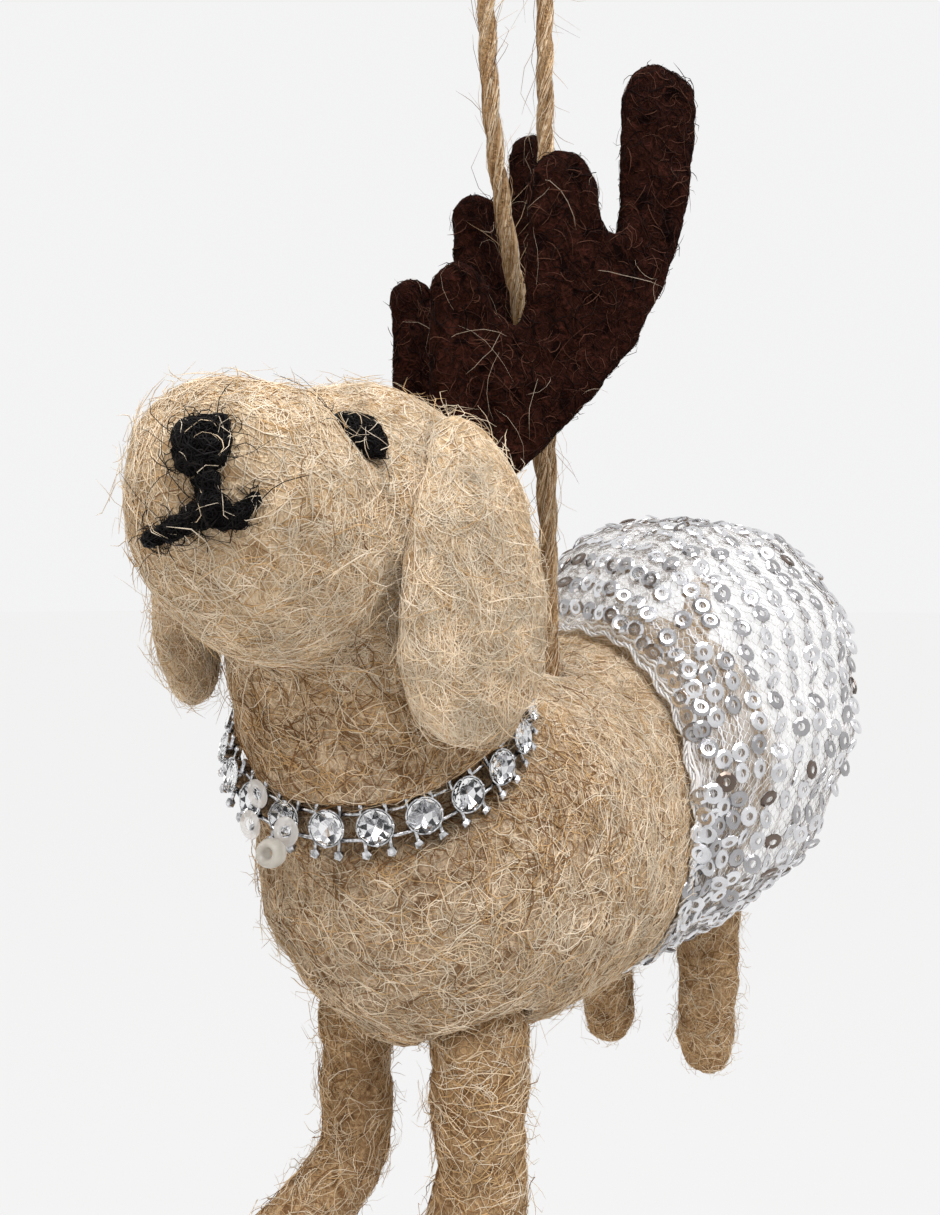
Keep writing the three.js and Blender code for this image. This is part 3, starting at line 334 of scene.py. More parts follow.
def jute_strands(count, seed):
    """Fibres that follow the plies, some with their ends sprung out of the twist."""
    rng = np.random.default_rng(seed)
    paths, ups, radii = [], [], []
    for _ in range(count):
        length = rng.integers(7, 22)
        start = rng.integers(0, len(route) - length)
        part = slice(start, start + length)
        stray = rng.random() < 0.07
        lift = np.full(length, fibre_offset)
        if stray:
            lift += np.linspace(0, 1, length) ** 2 * rng.uniform(0.8, 3.5) * mm
        ply = rng.integers(0, 3)
        own_turn = rng.uniform(-1.3, 1.3) + np.linspace(0, rng.normal(0, 0.5), length)
        centre, outward = plies[ply][0][part], plies[ply][1][part]
        sideways = np.cross(unit(np.gradient(centre, axis=0)), outward)
        off = outward * np.cos(own_turn)[:, None] + sideways * np.sin(own_turn)[:, None]
        path = centre + off * lift[:, None]
        if stray:
            path += unit(rng.normal(size=3)) * (np.linspace(0, 1, length)[:, None] ** 2) * mm
        keep = np.linspace(0, length - 1, 6).round().astype(int)
        paths.append(path[keep])
        ups.append(off[keep])
        width = rng.uniform(0.03, 0.04) if stray else rng.uniform(0.04, 0.09)
        radii.append(width * mm * np.array([0.4, 1, 1, 1, 0.8, 0.3]))
    shade = rng.choice(3, count, p=[0.38, 0.38, 0.24])
    return tube_mesh("jute_fibres", paths, ups, radii, 3, jute_shades, shade)


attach(jute_strands(2800, 3), "dog")

knot_turn = np.linspace(0, math.tau, 90)
knot_path = np.stack([np.sin(knot_turn) + 2 * np.sin(2 * knot_turn),
                      np.cos(knot_turn) - 2 * np.cos(2 * knot_turn),
                      -np.sin(3 * knot_turn)], axis=1) * knot_size * mm
knot_path += np.array(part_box("twine_knot")).mean(axis=0)
knot = tube_mesh("twine_knot_tied", [knot_path], [np.tile([0.0, 0, 1], (90, 1))],
                 knot_radius, 8, [jute_ground])
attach(knot, "dog")
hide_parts("twine_knot")


# Body, neck, head and muzzle. Beige sheep's wool, rolled up and felted with a needle until
# the parts grow into each other. Loose fibres lie matted in all directions over the surface.
chin_height, neck_height = -84 * mm, -97 * mm
waist_y = 24 * mm
wool_patches = 170
# The darker of its two colours is painted shade in the gaps between the fibres
wool_ground = ground_material("wool_ground", (0.24, 0.125, 0.05), (0.80, 0.59, 0.36),
                              wool_patches)


def lighter_head(material):
    """The head is of paler, more closely felted wool than the trunk."""
    tree = material.node_tree
    fibres = next(n for n in tree.nodes if n.type == "GROUP")
    where = next(n for n in tree.nodes if n.type == "TEX_COORD")
    height = add_node(tree, "SeparateXYZ", Vector=where.outputs["Object"])["Z"]
    rise = add_node(tree, "MapRange", Value=height, From_Min=neck_height,
                    From_Max=chin_height)["Result"]
    for name, low, high in (("Dark", (0.21, 0.115, 0.052), (0.39, 0.25, 0.13)),
                            ("Light", (0.81, 0.65, 0.47), (0.88, 0.71, 0.50))):
        tone = add_node(tree, "Mix", data_type="RGBA", Factor=rise, A=(*low, 1), B=(*high, 1))
        tree.links.new(tone["Result"], fibres.inputs[name])


lighter_head(wool_ground)
wool_shades = [patchy_material(f"wool_{shade}", colour, roughness, gloss=gloss)
               for shade, colour, roughness, gloss in (
                   ("pale", (0.97, 0.84, 0.67), 0.7, 0.12),
                   ("cream", (0.88, 0.70, 0.49), 0.7, 0.12),
                   ("straw", (0.68, 0.45, 0.23), 0.8, 0.1),
                   ("brown", (0.30, 0.16, 0.07), 0.8, 0.1))]
# Shares of pale, cream, straw and brown fibres. The neck's large dark share is painted shade
# under the head
head_mix, neck_shade_mix, trunk_mix = ([0.48, 0.36, 0.14, 0.02], [0.07, 0.23, 0.39, 0.31],
                                 [0.42, 0.36, 0.17, 0.05])
loose_mix = [0.5, 0.4, 0.1, 0]
# In mm, the fibres' widths and the hollows that the eyes are needled into
strand_width, head_width, loose_width = 0.1, 0.09, 0.065
socket_depth, socket_width = 1.2, 2.8


def pick(*pieces):
    """Select these pieces only. The first one is active."""
    bpy.ops.object.select_all(action="DESELECT")
    for piece in pieces:
        piece.select_set(True)
    bpy.context.view_layer.objects.active = pieces[0]


def edit_all(operator, **settings):
    """Run one of the mesh operators on the whole of the active piece."""
    bpy.ops.object.mode_set(mode="EDIT")
    bpy.ops.mesh.select_all(action="SELECT")
    operator(**settings)
    bpy.ops.object.mode_set(mode="OBJECT")


def modify(kind, **settings):
    """Put a modifier on the active piece and apply it."""
    modifier = bpy.context.object.modifiers.new("shaping", kind)
    for name, value in settings.items():
        setattr(modifier, name, value)
    bpy.ops.object.modifier_apply(modifier=modifier.name)


def solid_copy(name, nodes, merge, material):
    """The solids of some nodes as one new piece, their corners closed up."""
    pick(*[bpy.data.objects[node] for node in nodes])
    bpy.ops.object.duplicate()
    if len(nodes) > 1:
        bpy.ops.object.join()
    piece = bpy.context.object
    piece.parent = None
    piece.matrix_world = Matrix()
    piece.name = piece.data.name = name
    piece.data.materials.clear()
    piece.data.materials.append(material)
    edit_all(bpy.ops.mesh.remove_doubles, threshold=merge)
    return piece


def felted_copy(name, nodes, voxel, swell, smoothing, material, bumps=None):
    """The solids of some nodes, grown together and softened as felt is. The height, size and
    seed of its lumps may follow."""
    piece = solid_copy(name, nodes, voxel * 0.01, material)
    modify("DISPLACE", strength=swell, mid_level=0)
    modify("REMESH", mode="VOXEL", voxel_size=voxel)
    modify("SMOOTH", factor=0.6, iterations=smoothing)
    bpy.ops.object.shade_smooth()
    if bumps is not None:
        lumps(piece, *bumps)
    return piece


def push(piece, move):
    """Move the points of a surface. All places are found before any is changed, because a
    change would turn the normals."""
    places = [v.co + move(v) for v in piece.data.vertices]
    piece.data.vertices.foreach_set("co", np.array(places, np.float32).ravel())
    piece.data.update()


def lumps(piece, height, size, seed):
    """Push the surface in and out, as hand felting leaves it."""
    shift = Vector((seed, seed * 0.7, -seed))
    push(piece, lambda v: v.normal * height * fractal(v.co / size + shift, 1.0, 2.0, 2))


def surface_of(piece):
    """A piece's surface as corners of its triangles, and a tree to find points on it."""
    mesh = piece.data
    mesh.calc_loop_triangles()
    corners = np.empty(len(mesh.loop_triangles) * 3, np.int32)
    mesh.loop_triangles.foreach_get("vertices", corners)
    places = np.empty(len(mesh.vertices) * 3)
    mesh.vertices.foreach_get("co", places)
    places = places.reshape(-1, 3)
    corners = corners.reshape(-1, 3)
    return places[corners], BVHTree.FromPolygons(places.tolist(), corners.tolist())


def walk_strands(surface, count, length, lift, curl, seed, stray=0.0, flow=None, spread=9.0,
                 keep=None, steps=5, rise=1.5):
    """Paths of fibres that lie on a surface, and the way out of it at each point. The length,
    the lift and the rise of stray ends are in mm."""
    triangles, tree = surface
    rng = np.random.default_rng(seed)
    across = np.cross(triangles[:, 1] - triangles[:, 0], triangles[:, 2] - triangles[:, 0])
    weight = np.linalg.norm(across, axis=1)
    if keep is not None:
        weight = weight * keep(triangles.mean(axis=1))
    picks = rng.choice(len(triangles), count, p=weight / weight.sum())
    a, b = rng.random((2, count, 1))
    a, b = np.where(a + b > 1, 1 - a, a), np.where(a + b > 1, 1 - b, b)
    corner = triangles[picks]
    place = corner[:, 0] + a * (corner[:, 1] - corner[:, 0]) + b * (corner[:, 2] - corner[:, 0])
    out = unit(across[picks])
    way = flow(place) if flow is not None else rng.normal(size=(count, 3))
    way = unit(way - out * np.sum(way * out, axis=1, keepdims=True))
    aside = np.cross(out, way)
    swing = rng.uniform(-math.pi, math.pi, (count, 1)) if flow is None \
        else rng.normal(0, spread, (count, 1))
    way = way * np.cos(swing) + aside * np.sin(swing)
    stride = rng.uniform(length[0] * mm, length[1] * mm, (count, 1)) / steps
    bend = rng.choice([-1, 1], (count, 1)) * rng.uniform(0.15, 1.6, (count, 1)) * curl
    crest = rng.uniform(0.3, 1, (count, 1)) * (lift * mm)
    flyaway = rng.random((count, 1)) < stray
    end_rise = np.where(flyaway, rng.uniform(0.3, 1, (count, 1)) * (rise * mm), 0)
    paths, outs = [], []
    for step in range(steps + 1):
        share = step / steps
        height = crest * (math.sin(math.pi * share) * 1.3 - 0.25) + end_rise * share ** 1.6
        paths.append(place + out * height)
        outs.append(out)
        moved = place + way * stride
        found = [tree.find_nearest(p) for p in moved.tolist()]
        place = np.array([f[0][:] for f in found])
        out = np.array([f[1][:] for f in found])
        way = unit(way - out * np.sum(way * out, axis=1, keepdims=True))
        turned = bend + rng.normal(0, curl * 0.35, (count, 1))
        way = way * np.cos(turned) + np.cross(out, way) * np.sin(turned)
    return np.stack(paths, axis=1), np.stack(outs, axis=1)


def fibre_piece(name, body, surface, count, length, lift, curl, width, shades, mix, seeds,
                pad_seed=None, **walk):
    """Fibres on a surface as one piece: three-sided strands that thin out at both ends. Of
    the two seeds one lays the paths and the other gives widths and shades."""
    paths, outs = walk_strands(surface, count, length, lift, curl, seeds[0], **walk)
    if pad_seed is not None:
        kept = off_pads(paths, pad_seed)
        paths, outs = paths[kept], outs[kept]
    rng = np.random.default_rng(seeds[1])
    taper = np.ones(paths.shape[1])
    taper[0], taper[-1] = 0.4, 0.25
    radii = rng.uniform(0.55, 1.45, (len(paths), 1)) * (width * mm) / 2 * taper
    shade = rng.choice(len(shades), len(paths), p=mix)
    piece = tube_mesh(name, paths, outs, radii, 3, shades, shade, flat=0.8)
    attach(piece, body)


def middle_of(node):
    low, high = (Vector(c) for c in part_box(node))
    return (low + high) / 2


def press_socket(piece, middle):
    """Press the hollow that an eye's wool is needled into."""
    push(piece, lambda v: -v.normal * socket_depth * mm
         * math.exp(-((v.co - middle).length / (socket_width * mm)) ** 2))


body_nodes = ["torso", "neck", "head", "muzzle"]
body = felted_copy("wool_body", body_nodes, 0.75 * mm, 0.25 * mm, 10, wool_ground,
                   (0.5 * mm, 6 * mm, 1.0))
for node, way in (("left_eye", -1), ("right_eye", 1)):
    press_socket(body, middle_of(node) + Vector((way, -1.2, -1.0)) * mm)
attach(body, "dog")
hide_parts(*body_nodes)
body_surface = surface_of(body)


def points_tree(points):
    tree = KDTree(len(points))
    for i, point in enumerate(points):
        tree.insert(point, i)
    tree.balance()
    return tree


black_nodes = ("nose", "mouth", "left_eye", "right_eye")
black_tree = points_tree([v.co for node in black_nodes
                          for v in bpy.data.objects[node].data.vertices])


def off_black(where, gap=0.7 * mm):
    """1 where a point is clear of the black wool, or else 0."""
    return np.array([1.0 if black_tree.find(p)[2] > gap else 0.0 for p in where.tolist()])


def share_of(part, where):
    """How thickly the fibres of a part lie at each place. Under the skirt there are fewer."""
    head = (where[:, 2] > chin_height - 2 * mm) & (where[:, 1] < 6 * mm)
    neck = ~head & (where[:, 2] > neck_height - 9 * mm) & (where[:, 1] < -2 * mm)
    if part == "head":
        return head * off_black(where)
    if part == "neck":
        return neck * 1.0
    return np.where(head | neck, 0.0, np.where(where[:, 1] > waist_y, 0.3, 1.0))


def off_pads(paths, seed):
    """Which fibres stay: nearly all that would cross the black wool are left out."""
    spared = np.random.default_rng(seed).random(len(paths)) < 0.03
    tips = [off_black(paths[:, k], 0.35 * mm) for k in range(1, paths.shape[1])]
    return spared | (np.min(tips, axis=0) > 0)


for i, (part, count, mix) in enumerate([("head", 4300, head_mix)] * 3
                                       + [("neck", 2700, neck_shade_mix)]
                                       + [("trunk", 4900, trunk_mix)] * 2):
    length, lift, width, pad_seed, steps = ((3, 8), 0.12, head_width, i, 4) \
        if part == "head" else ((4, 9), 0.18, strand_width, None, 5)
    fibre_piece(f"wool_fibres_{i + 1}", "dog", body_surface, count, length, lift, 0.6, width,
                wool_shades, mix, (20 + i, 40 + i), pad_seed, stray=0.05, rise=1.6,
                keep=lambda where, part=part: share_of(part, where), steps=steps)
fibre_piece("wool_loose_hairs", "dog", body_surface, 2000, (3, 9), 0.3, 0.6, loose_width,
            wool_shades, loose_mix, (33, 34), stray=1.0, rise=2.4, keep=off_black)


# Tail. A felted stub on the rump, under the skirt, so the photograph doesn't show it.
tail = felted_copy("wool_tail", ["tail"], 0.5 * mm, 0.1 * mm, 6, wool_ground)
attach(tail, "dog")
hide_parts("tail")
fibre_piece("tail_fibres", "dog", surface_of(tail), 260, (3, 6), 0.3, 0.3, strand_width,
            wool_shades, trunk_mix, (7, 8), stray=0.1)


# Ears. Flat felted leaves, held to the head only along the seam at the top, so that they
# hang loose. Their fibres run down from the seam and round the rim.
ear_ground = ground_material("ear_ground", (0.42, 0.26, 0.13), (0.92, 0.75, 0.52),
                             wool_patches)
ear_mix = [0.62, 0.32, 0.06, 0]
for node, count in (("left_ear", 4100), ("right_ear", 2000)):
    ear = felted_copy(f"wool_{node}", [node], 0.45 * mm, 0.12 * mm, 8, ear_ground,
                      (0.35 * mm, 5 * mm, 3.0))
    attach(ear, node)
    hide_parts(node)
    surface = surface_of(ear)
    middle = middle_of(node)

    def down_and_round(where, middle=middle):
        away = where - np.array(middle)
        return np.stack([away[:, 1] * -0.6, away[:, 0] * 0.6, np.full(len(where), -9 * mm)],
                        axis=1)

    fibre_piece(f"{node}_fibres", node, surface, count, (3, 8), 0.14, 0.42, head_width,
                wool_shades, ear_mix, (60 + count, 61), stray=0.05, flow=down_and_round,
                spread=0.55, steps=4)
    fibre_piece(f"{node}_loose_hairs", node, surface, 320, (3, 8), 0.3, 0.5, loose_width,
                wool_shades, loose_mix, (62, 63), stray=1.0, rise=2)


# Legs. Wool wound crosswise round a soft wire and needled firm, with a frizz of loose
# hairs. The wire bends where the leg enters the body.
leg_ground = ground_material("leg_ground", (0.20, 0.10, 0.04), (0.66, 0.46, 0.26),
                             wool_patches)
wire_metal = patchy_material("leg_wire", (0.45, 0.45, 0.47), 0.35, metallic=1.0)
for leg in ("left_front_leg", "right_front_leg", "left_rear_leg", "right_rear_leg"):
    # Needling has made the rear legs a little thinner than the front ones
    count, swell = (2000, -0.35 * mm) if "front" in leg else (1150, -0.55 * mm)
    wool = felted_copy(f"wool_{leg}", [leg], 0.45 * mm, swell, 6, leg_ground,
                       (0.6 * mm, 4 * mm, 5.0))
    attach(wool, leg)
    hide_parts(leg)
    core = np.array(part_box(leg)).mean(axis=0)

    def round_leg(where, core=core):
        away = where - core
        return np.stack([-away[:, 1], away[:, 0], np.full(len(where), 0.4 * mm)], axis=1)

    surface = surface_of(wool)
    fibre_piece(f"{leg}_fibres", leg, surface, count, (3, 7.5), 0.22, 0.42, strand_width,
                wool_shades, [0.16, 0.32, 0.36, 0.16], (80, 81), stray=0.09, flow=round_leg,
                spread=0.8, steps=4)
    fibre_piece(f"{leg}_loose_hairs", leg, surface, 340, (2.5, 7), 0.3, 0.65, loose_width,
                wool_shades, [0.4, 0.4, 0.2, 0], (82, 83), stray=1.0, rise=2.4)
    bpy.data.objects[f"{leg}_wire"].data.materials.clear()
    bpy.data.objects[f"{leg}_wire"].data.materials.append(wire_metal)


# Nose, mouth and eyes. Black wool needled into the beige, so that their edges fray into
# it and single black hairs lie over the muzzle. A few pale hairs have come onto the black.
black_ground = ground_material("black_wool", (0.0015, 0.001, 0.001), (0.007, 0.006, 0.006),
                               300, relief=0.15 * mm, gloss=0.05)
black_shades = [patchy_material("black_hair", (0.006, 0.005, 0.005), 0.5, gloss=0.12),
                patchy_material("charcoal_hair", (0.022, 0.018, 0.017), 0.5, gloss=0.15)]
head_middle = middle_of("head")
for node, own, frayed in (("nose", 450, 90), ("mouth", 550, 110), ("left_eye", 220, 45),
                          ("right_eye", 220, 45)):
    pad = felted_copy(f"black_{node}", [node], 0.2 * mm, 0.1 * mm, 3, black_ground)
    middle = middle_of(node)
    outward = (middle - head_middle).normalized()
    # The eyes fill their sockets, so they are grown and set lower than the solids
    grown, sunk, lift = (1.6, 0.5 * mm, 0.65 * mm) if "eye" in node else (1.0, 0, 0.35 * mm)
    pad.data.transform(Matrix.Translation(middle + outward * lift - Vector((0, sunk, sunk)))
                       @ Matrix.Scale(grown, 4) @ Matrix.Translation(-middle))
    lumps(pad, 0.4 * mm, 1.5 * mm, 2.0)
    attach(pad, "dog")
    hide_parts(node)
    pad_surface = surface_of(pad)
    rim = points_tree([v.co for v in pad.data.vertices])
    low, high = np.array(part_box(node))

    def near_pad(where, rim=rim, low=low, high=high):
        close = np.all((where > low - 2 * mm) & (where < high + 2 * mm), axis=1)
        weight = np.zeros(len(where))
        for i in np.flatnonzero(close):
            weight[i] = math.exp(-(rim.find(where[i].tolist())[2] / (0.4 * mm)) ** 2)
        return weight

    fibre_piece(f"{node}_fibres", "dog", pad_surface, own, (1.5, 3.5), 0.16, 0.5, 0.09,
                black_shades, [0.8, 0.2], (90, 91), stray=0.03)
    fibre_piece(f"{node}_frayed_edge", "dog", body_surface, frayed, (0.8, 2.4), 0.4, 0.5,
                0.075, black_shades, [0.6, 0.4], (92, 93), stray=0.1, keep=near_pad)
    fibre_piece(f"{node}_pale_hairs", "dog", pad_surface, 16, (2, 5), 0.35, 0.4, 0.06,
                wool_shades, [0.8, 0.2, 0, 0], (95, 96))
    fibre_piece(f"{node}_flyaways", "dog", body_surface, 12, (4, 8), 0.5, 0.3, 0.07,
                black_shades, [0.5, 0.5], (94, 94), stray=1.0, rise=1.6, keep=near_pad)


# Antlers. Thick dark brown felt cut to shape and stood on edge in the head. The cut edges
# are rounded by needling, and paler hairs are caught in the felt.
antler_ground = ground_material("antler_felt", (0.003, 0.001, 0.0008),
                                (0.046, 0.014, 0.009), 130, gloss=0.03)
antler_shades = [patchy_material(f"antler_{shade}", colour, 0.6, gloss=gloss)
                 for shade, colour, gloss in (("dark", (0.008, 0.003, 0.002), 0.05),
                                              ("brown", (0.034, 0.012, 0.008), 0.06),
                                              ("russet", (0.11, 0.045, 0.028), 0.1),
                                              ("pale_hair", (0.55, 0.44, 0.34), 0.3))]
for node in ("left_antler", "right_antler"):
    antler = felted_copy(f"felt_{node}", [node], 0.45 * mm, -0.3 * mm, 5, antler_ground,
                         (0.35 * mm, 2.6 * mm, 9.0))
    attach(antler, "dog")
    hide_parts(node)
    surface = surface_of(antler)
    fibre_piece(f"{node}_fibres", "dog", surface, 2700, (1.5, 4), 0.14, 0.4, 0.08,
                antler_shades, [0.52, 0.3, 0.18, 0], (95, 96), stray=0.14, rise=1, steps=4)
    fibre_piece(f"{node}_pale_hairs", "dog", surface, 55, (3, 9), 0.3, 0.3, 0.05,
                antler_shades, [0, 0, 0.3, 0.7], (97, 98), stray=0.5, rise=1.8)


# Collar. Cup chain: a foiled glass stone sits in each silver cup. Two pegs stand above
# each cup and two beaded ones below, and two wires join it to the next cup.
collar_centre = Vector((-5.6, -18.3, -91.6)) * mm
collar_matrix = (Matrix.Translation(collar_centre) @ Matrix.Rotation(math.radians(34), 4, "X")
                 @ Matrix.Rotation(math.radians(13.5), 4, "Y"))
collar_radius = 15.3 * mm
cup_depth = 1.7 * mm
inner_radius = collar_radius - cup_depth / 2
stone_count = 22
stone_radius = 1.62 * mm
stone_depth = 0.4  # as a share of its radius
cup_radius = 1.82 * mm
cup_taper = 0.74
cup_lean = math.radians(36)
rim_width, seat_drop, hollow_depth, hollow_taper = 0.14 * mm, 0.15 * mm, 1.2 * mm, 0.12
peg_side, peg_front = 1.15 * mm, cup_depth - 0.45 * mm
claw_ring, wire_level = 1.68 * mm, 1.25 * mm
# Its strong, fine patchy darkening is painted reflection: dark spots that stand for what the
# silver reflects
silver = patchy_material("silver_plate", (0.84, 0.84, 0.86), 0.18, metallic=1.0, vary=0.75,
                         scale=2400)


def link_matrix(angle):
    """A cup's own frame: Z points out of the neck, Y up the collar. At the front the cups
    lean back to lie flat on the neck."""
    out = Vector((math.sin(angle), -math.cos(angle), 0))
    up = Vector((0, 0, 1))
    across = up.cross(out)
    lean = cup_lean * (1 + math.cos(angle)) / 2
    clear = cup_radius * cup_taper * math.sin(lean) - cup_depth / 2 * (1 - math.cos(lean))
    upright = Matrix((across, up, out)).transposed().to_4x4()
    upright.translation = out * (inner_radius + clear)
    middle = Matrix.Translation((0, 0, cup_depth / 2))
    return collar_matrix @ upright @ (middle @ Matrix.Rotation(-lean, 4, "X")
                                      @ middle.inverted())


def joined(name, parts):
    pick(*parts)
    bpy.ops.object.join()
    piece = bpy.context.object
    piece.name = piece.data.name = name
    bpy.ops.object.transform_apply(location=True, rotation=True, scale=True)
    return piece


def select_faces(piece, chosen):
    """Select a piece's faces by a test, ready for edit mode."""
    bpy.ops.object.mode_set(mode="EDIT")
    bpy.ops.mesh.select_mode(type="FACE")
    bpy.ops.mesh.select_all(action="DESELECT")
    bpy.ops.object.mode_set(mode="OBJECT")
    for face in piece.data.polygons:
        face.select = chosen(face)
    bpy.ops.object.mode_set(mode="EDIT")


def peg(side, level, reach, radius):
    """One upright peg on the cup's edge."""
    bpy.ops.mesh.primitive_cylinder_add(
        vertices=8, radius=radius, depth=reach, rotation=(math.pi / 2, 0, 0),
        location=(side, level, peg_front))
    return bpy.context.object


def ball(place, radius, segments, rings):
    bpy.ops.mesh.primitive_uv_sphere_add(segments=segments, ring_count=rings, radius=radius,
                                         location=place)
    return bpy.context.object


def cup():
    """A tapered cup with a rim and a hollow, its pegs with their beads, and four claws."""
    bpy.ops.mesh.primitive_cylinder_add(vertices=24, radius=cup_radius, depth=cup_depth,
                                        location=(0, 0, cup_depth / 2))
    shell = bpy.context.object
    select_faces(shell, lambda face: face.normal.z < -0.5)
    bpy.ops.transform.resize(value=(cup_taper, cup_taper, 1))
    bpy.ops.object.mode_set(mode="OBJECT")
    select_faces(shell, lambda face: face.normal.z > 0.5)
    bpy.ops.mesh.inset(thickness=rim_width, depth=0)
    for drop in (seat_drop, hollow_depth):
        bpy.ops.mesh.extrude_region_move(TRANSFORM_OT_translate={"value": (0, 0, -drop)})
    bpy.ops.transform.resize(value=(hollow_taper, hollow_taper, 1))
    bpy.ops.object.mode_set(mode="OBJECT")
    parts = [shell]
    for side in (-peg_side, peg_side):
        parts.append(peg(side, 1.8 * mm, 1.2 * mm, 0.24 * mm))
        parts.append(ball((side, 2.45 * mm, peg_front), 0.34 * mm, 10, 6))
        parts.append(peg(side * 1.05, -1.75 * mm, 1.1 * mm, 0.2 * mm))
        bpy.ops.mesh.primitive_ico_sphere_add(subdivisions=1, radius=0.56 * mm,
                                              location=(side * 1.05, -2.55 * mm, peg_front))
        parts.append(bpy.context.object)
    for turn in (math.radians(degrees) for degrees in (0, 90, 180, 270)):
        parts.append(ball((claw_ring * math.cos(turn), claw_ring * math.sin(turn),
                           cup_depth + 0.05 * mm), 0.2 * mm, 8, 5))
        bpy.ops.transform.resize(value=(1, 1, 0.7))
    return joined("cup", parts)


cup_master = cup()
cup_master.data.materials.clear()
cup_master.data.materials.append(silver)
bpy.ops.object.shade_smooth_by_angle(angle=math.radians(35))
# Frames of all cups, and of the first one again
cup_frames = [link_matrix(i * math.tau / stone_count) for i in range(stone_count + 1)]
links, wire_paths, wire_ups = [], [], []
for here, there in zip(cup_frames, cup_frames[1:]):
    pick(cup_master)
    bpy.ops.object.duplicate()
    bpy.context.object.data.transform(here)
    links.append(bpy.context.object)
    for level in (-wire_level, wire_level):
        a = here @ Vector((1.0 * mm, level, cup_depth * 0.5))
        b = there @ Vector((-1.0 * mm, level, cup_depth * 0.5))
        wire_paths.append([a.lerp(b, t) for t in (0, 0.33, 0.67, 1)])
        wire_ups.append([here.to_3x3() @ Vector((0, 1, 0))] * 4)
wires = tube_mesh("link_wires", np.array(wire_paths), np.array(wire_ups), 0.24 * mm, 8,
                  [silver])
bpy.data.objects.remove(cup_master, do_unlink=True)
chain = joined("cup_chain", [*links, wires])
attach(chain, "collar")
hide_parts("collar_chain")

glass, glass_tree, glass_shader = new_material("rhinestone_glass")
glass_wear = add_node(glass_tree, "TexNoise", Scale=500,
                      Vector=add_node(glass_tree, "TexCoord")["Object"])
glass_relief = add_node(glass_tree, "Bump", Distance=0.004 * mm, Height=glass_wear["Fac"])
fill(glass_tree, glass_shader, Base_Color=(1, 1, 1, 1), Roughness=0, Transmission_Weight=1.0,
     IOR=1.42, Normal=glass_relief["Normal"])
# One silver foil in three copies: its own bright silver, and painted reflection and shadow in
# two darker tones
foils = [patchy_material(f"foil_{shade}", colour, roughness, metallic=1.0)
         for shade, colour, roughness in (("bright", (0.95, 0.95, 0.96), 0.06),
                                          ("grey", (0.55, 0.55, 0.57), 0.1),
                                          ("shadow", (0.03, 0.03, 0.035), 0.15))]


def stone_ring(count, share, phase):
    """Points of a ring on a stone, its radius being a share of the stone's."""
    for k in range(count):
        a = (k + phase) * math.tau / count
        yield stone_radius * share * math.cos(a), stone_radius * share * math.sin(a)


def brilliant():
    """A round stone cut with table, star and kite facets over a pointed back."""
    verts = []
    for count, share, height, phase in ((8, 0.7, 0.2, 0), (8, 0.88, 0.14, 0.5),
                                        (16, 1.0, 0.0, 0)):
        verts += [(x, y, stone_radius * height) for x, y in stone_ring(count, share, phase)]
    table, stars, girdle, culet = 0, 8, 16, 32
    verts.append((0, 0, -stone_depth * stone_radius))
    faces = [[table + k for k in range(8)]]
    for k in range(8):
        k_next = (k + 1) % 8
        faces.append([table + k, stars + k, table + k_next])
        faces.append([table + k, stars + (k - 1) % 8, girdle + 2 * k, stars + k])
        faces.append([stars + k, girdle + 2 * k, girdle + 2 * k + 1])
        faces.append([stars + k, girdle + 2 * k + 1, girdle + (2 * k + 2) % 16])
    for k in range(16):
        faces.append([girdle + k, culet, girdle + (k + 1) % 16])
    mesh = bpy.data.meshes.new("brilliant")
    mesh.from_pydata(verts, [], faces)
    return add_piece(mesh.name, mesh, [glass])


def foil_back(rng):
    """The mirror foil behind a stone. Its facets are coloured bright, mid and near black by
    turns: painted reflection and shade on one silver foil.
    """
    verts = [(0, 0, -stone_depth * stone_radius)]
    for count, share, height, phase in ((8, 0.52, -0.55 * stone_depth, 0.5),
                                        (16, 0.985, -0.04, 0)):
        verts += [(x, y, stone_radius * (height + rng.uniform(-0.05, 0.05) * (count == 8)))
                  for x, y in stone_ring(count, share, phase)]
    faces, tones = [], []
    for k in range(8):
        inner, inner_last = 1 + k, 1 + (k - 1) % 8
        rim = [9 + (2 * k + step) % 16 for step in (0, 1, 2)]
        faces += [(0, inner_last, inner), (inner_last, rim[0], inner), (inner, rim[0], rim[1]),
                  (inner, rim[1], rim[2])]
        star, left, right = rng.choice(3, 3, p=[0.78, 0.17, 0.05])
        tones += [star, 2 if rng.random() < 0.5 else 1, left, right]
    mesh = bpy.data.meshes.new("foil_back")
    mesh.from_pydata(verts, [], faces)
    return add_piece(mesh.name, mesh, foils, tones)


rng = np.random.default_rng(12)
stones, backs = [], []
for cup_frame in cup_frames[:-1]:
    spot = (cup_frame @ Matrix.Translation((0, 0, cup_depth + 0.02 * mm))
            @ Matrix.Rotation(rng.uniform(0, 6), 4, "Z"))
    stones.append(brilliant())
    backs.append(foil_back(rng))
    for piece in (stones[-1], backs[-1]):
        piece.data.transform(spot)
rhinestones = joined("rhinestones", stones)
stone_foils = joined("stone_foils", backs)
for piece in (rhinestones, stone_foils):
    pick(piece)
    if piece is stone_foils:
        modify("SOLIDIFY", thickness=0.03 * mm, offset=0)
    edit_all(bpy.ops.mesh.normals_make_consistent, inside=False)
    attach(piece, "collar")
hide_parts(*[f"collar_stone_{i + 1:02d}" for i in range(stone_count)])


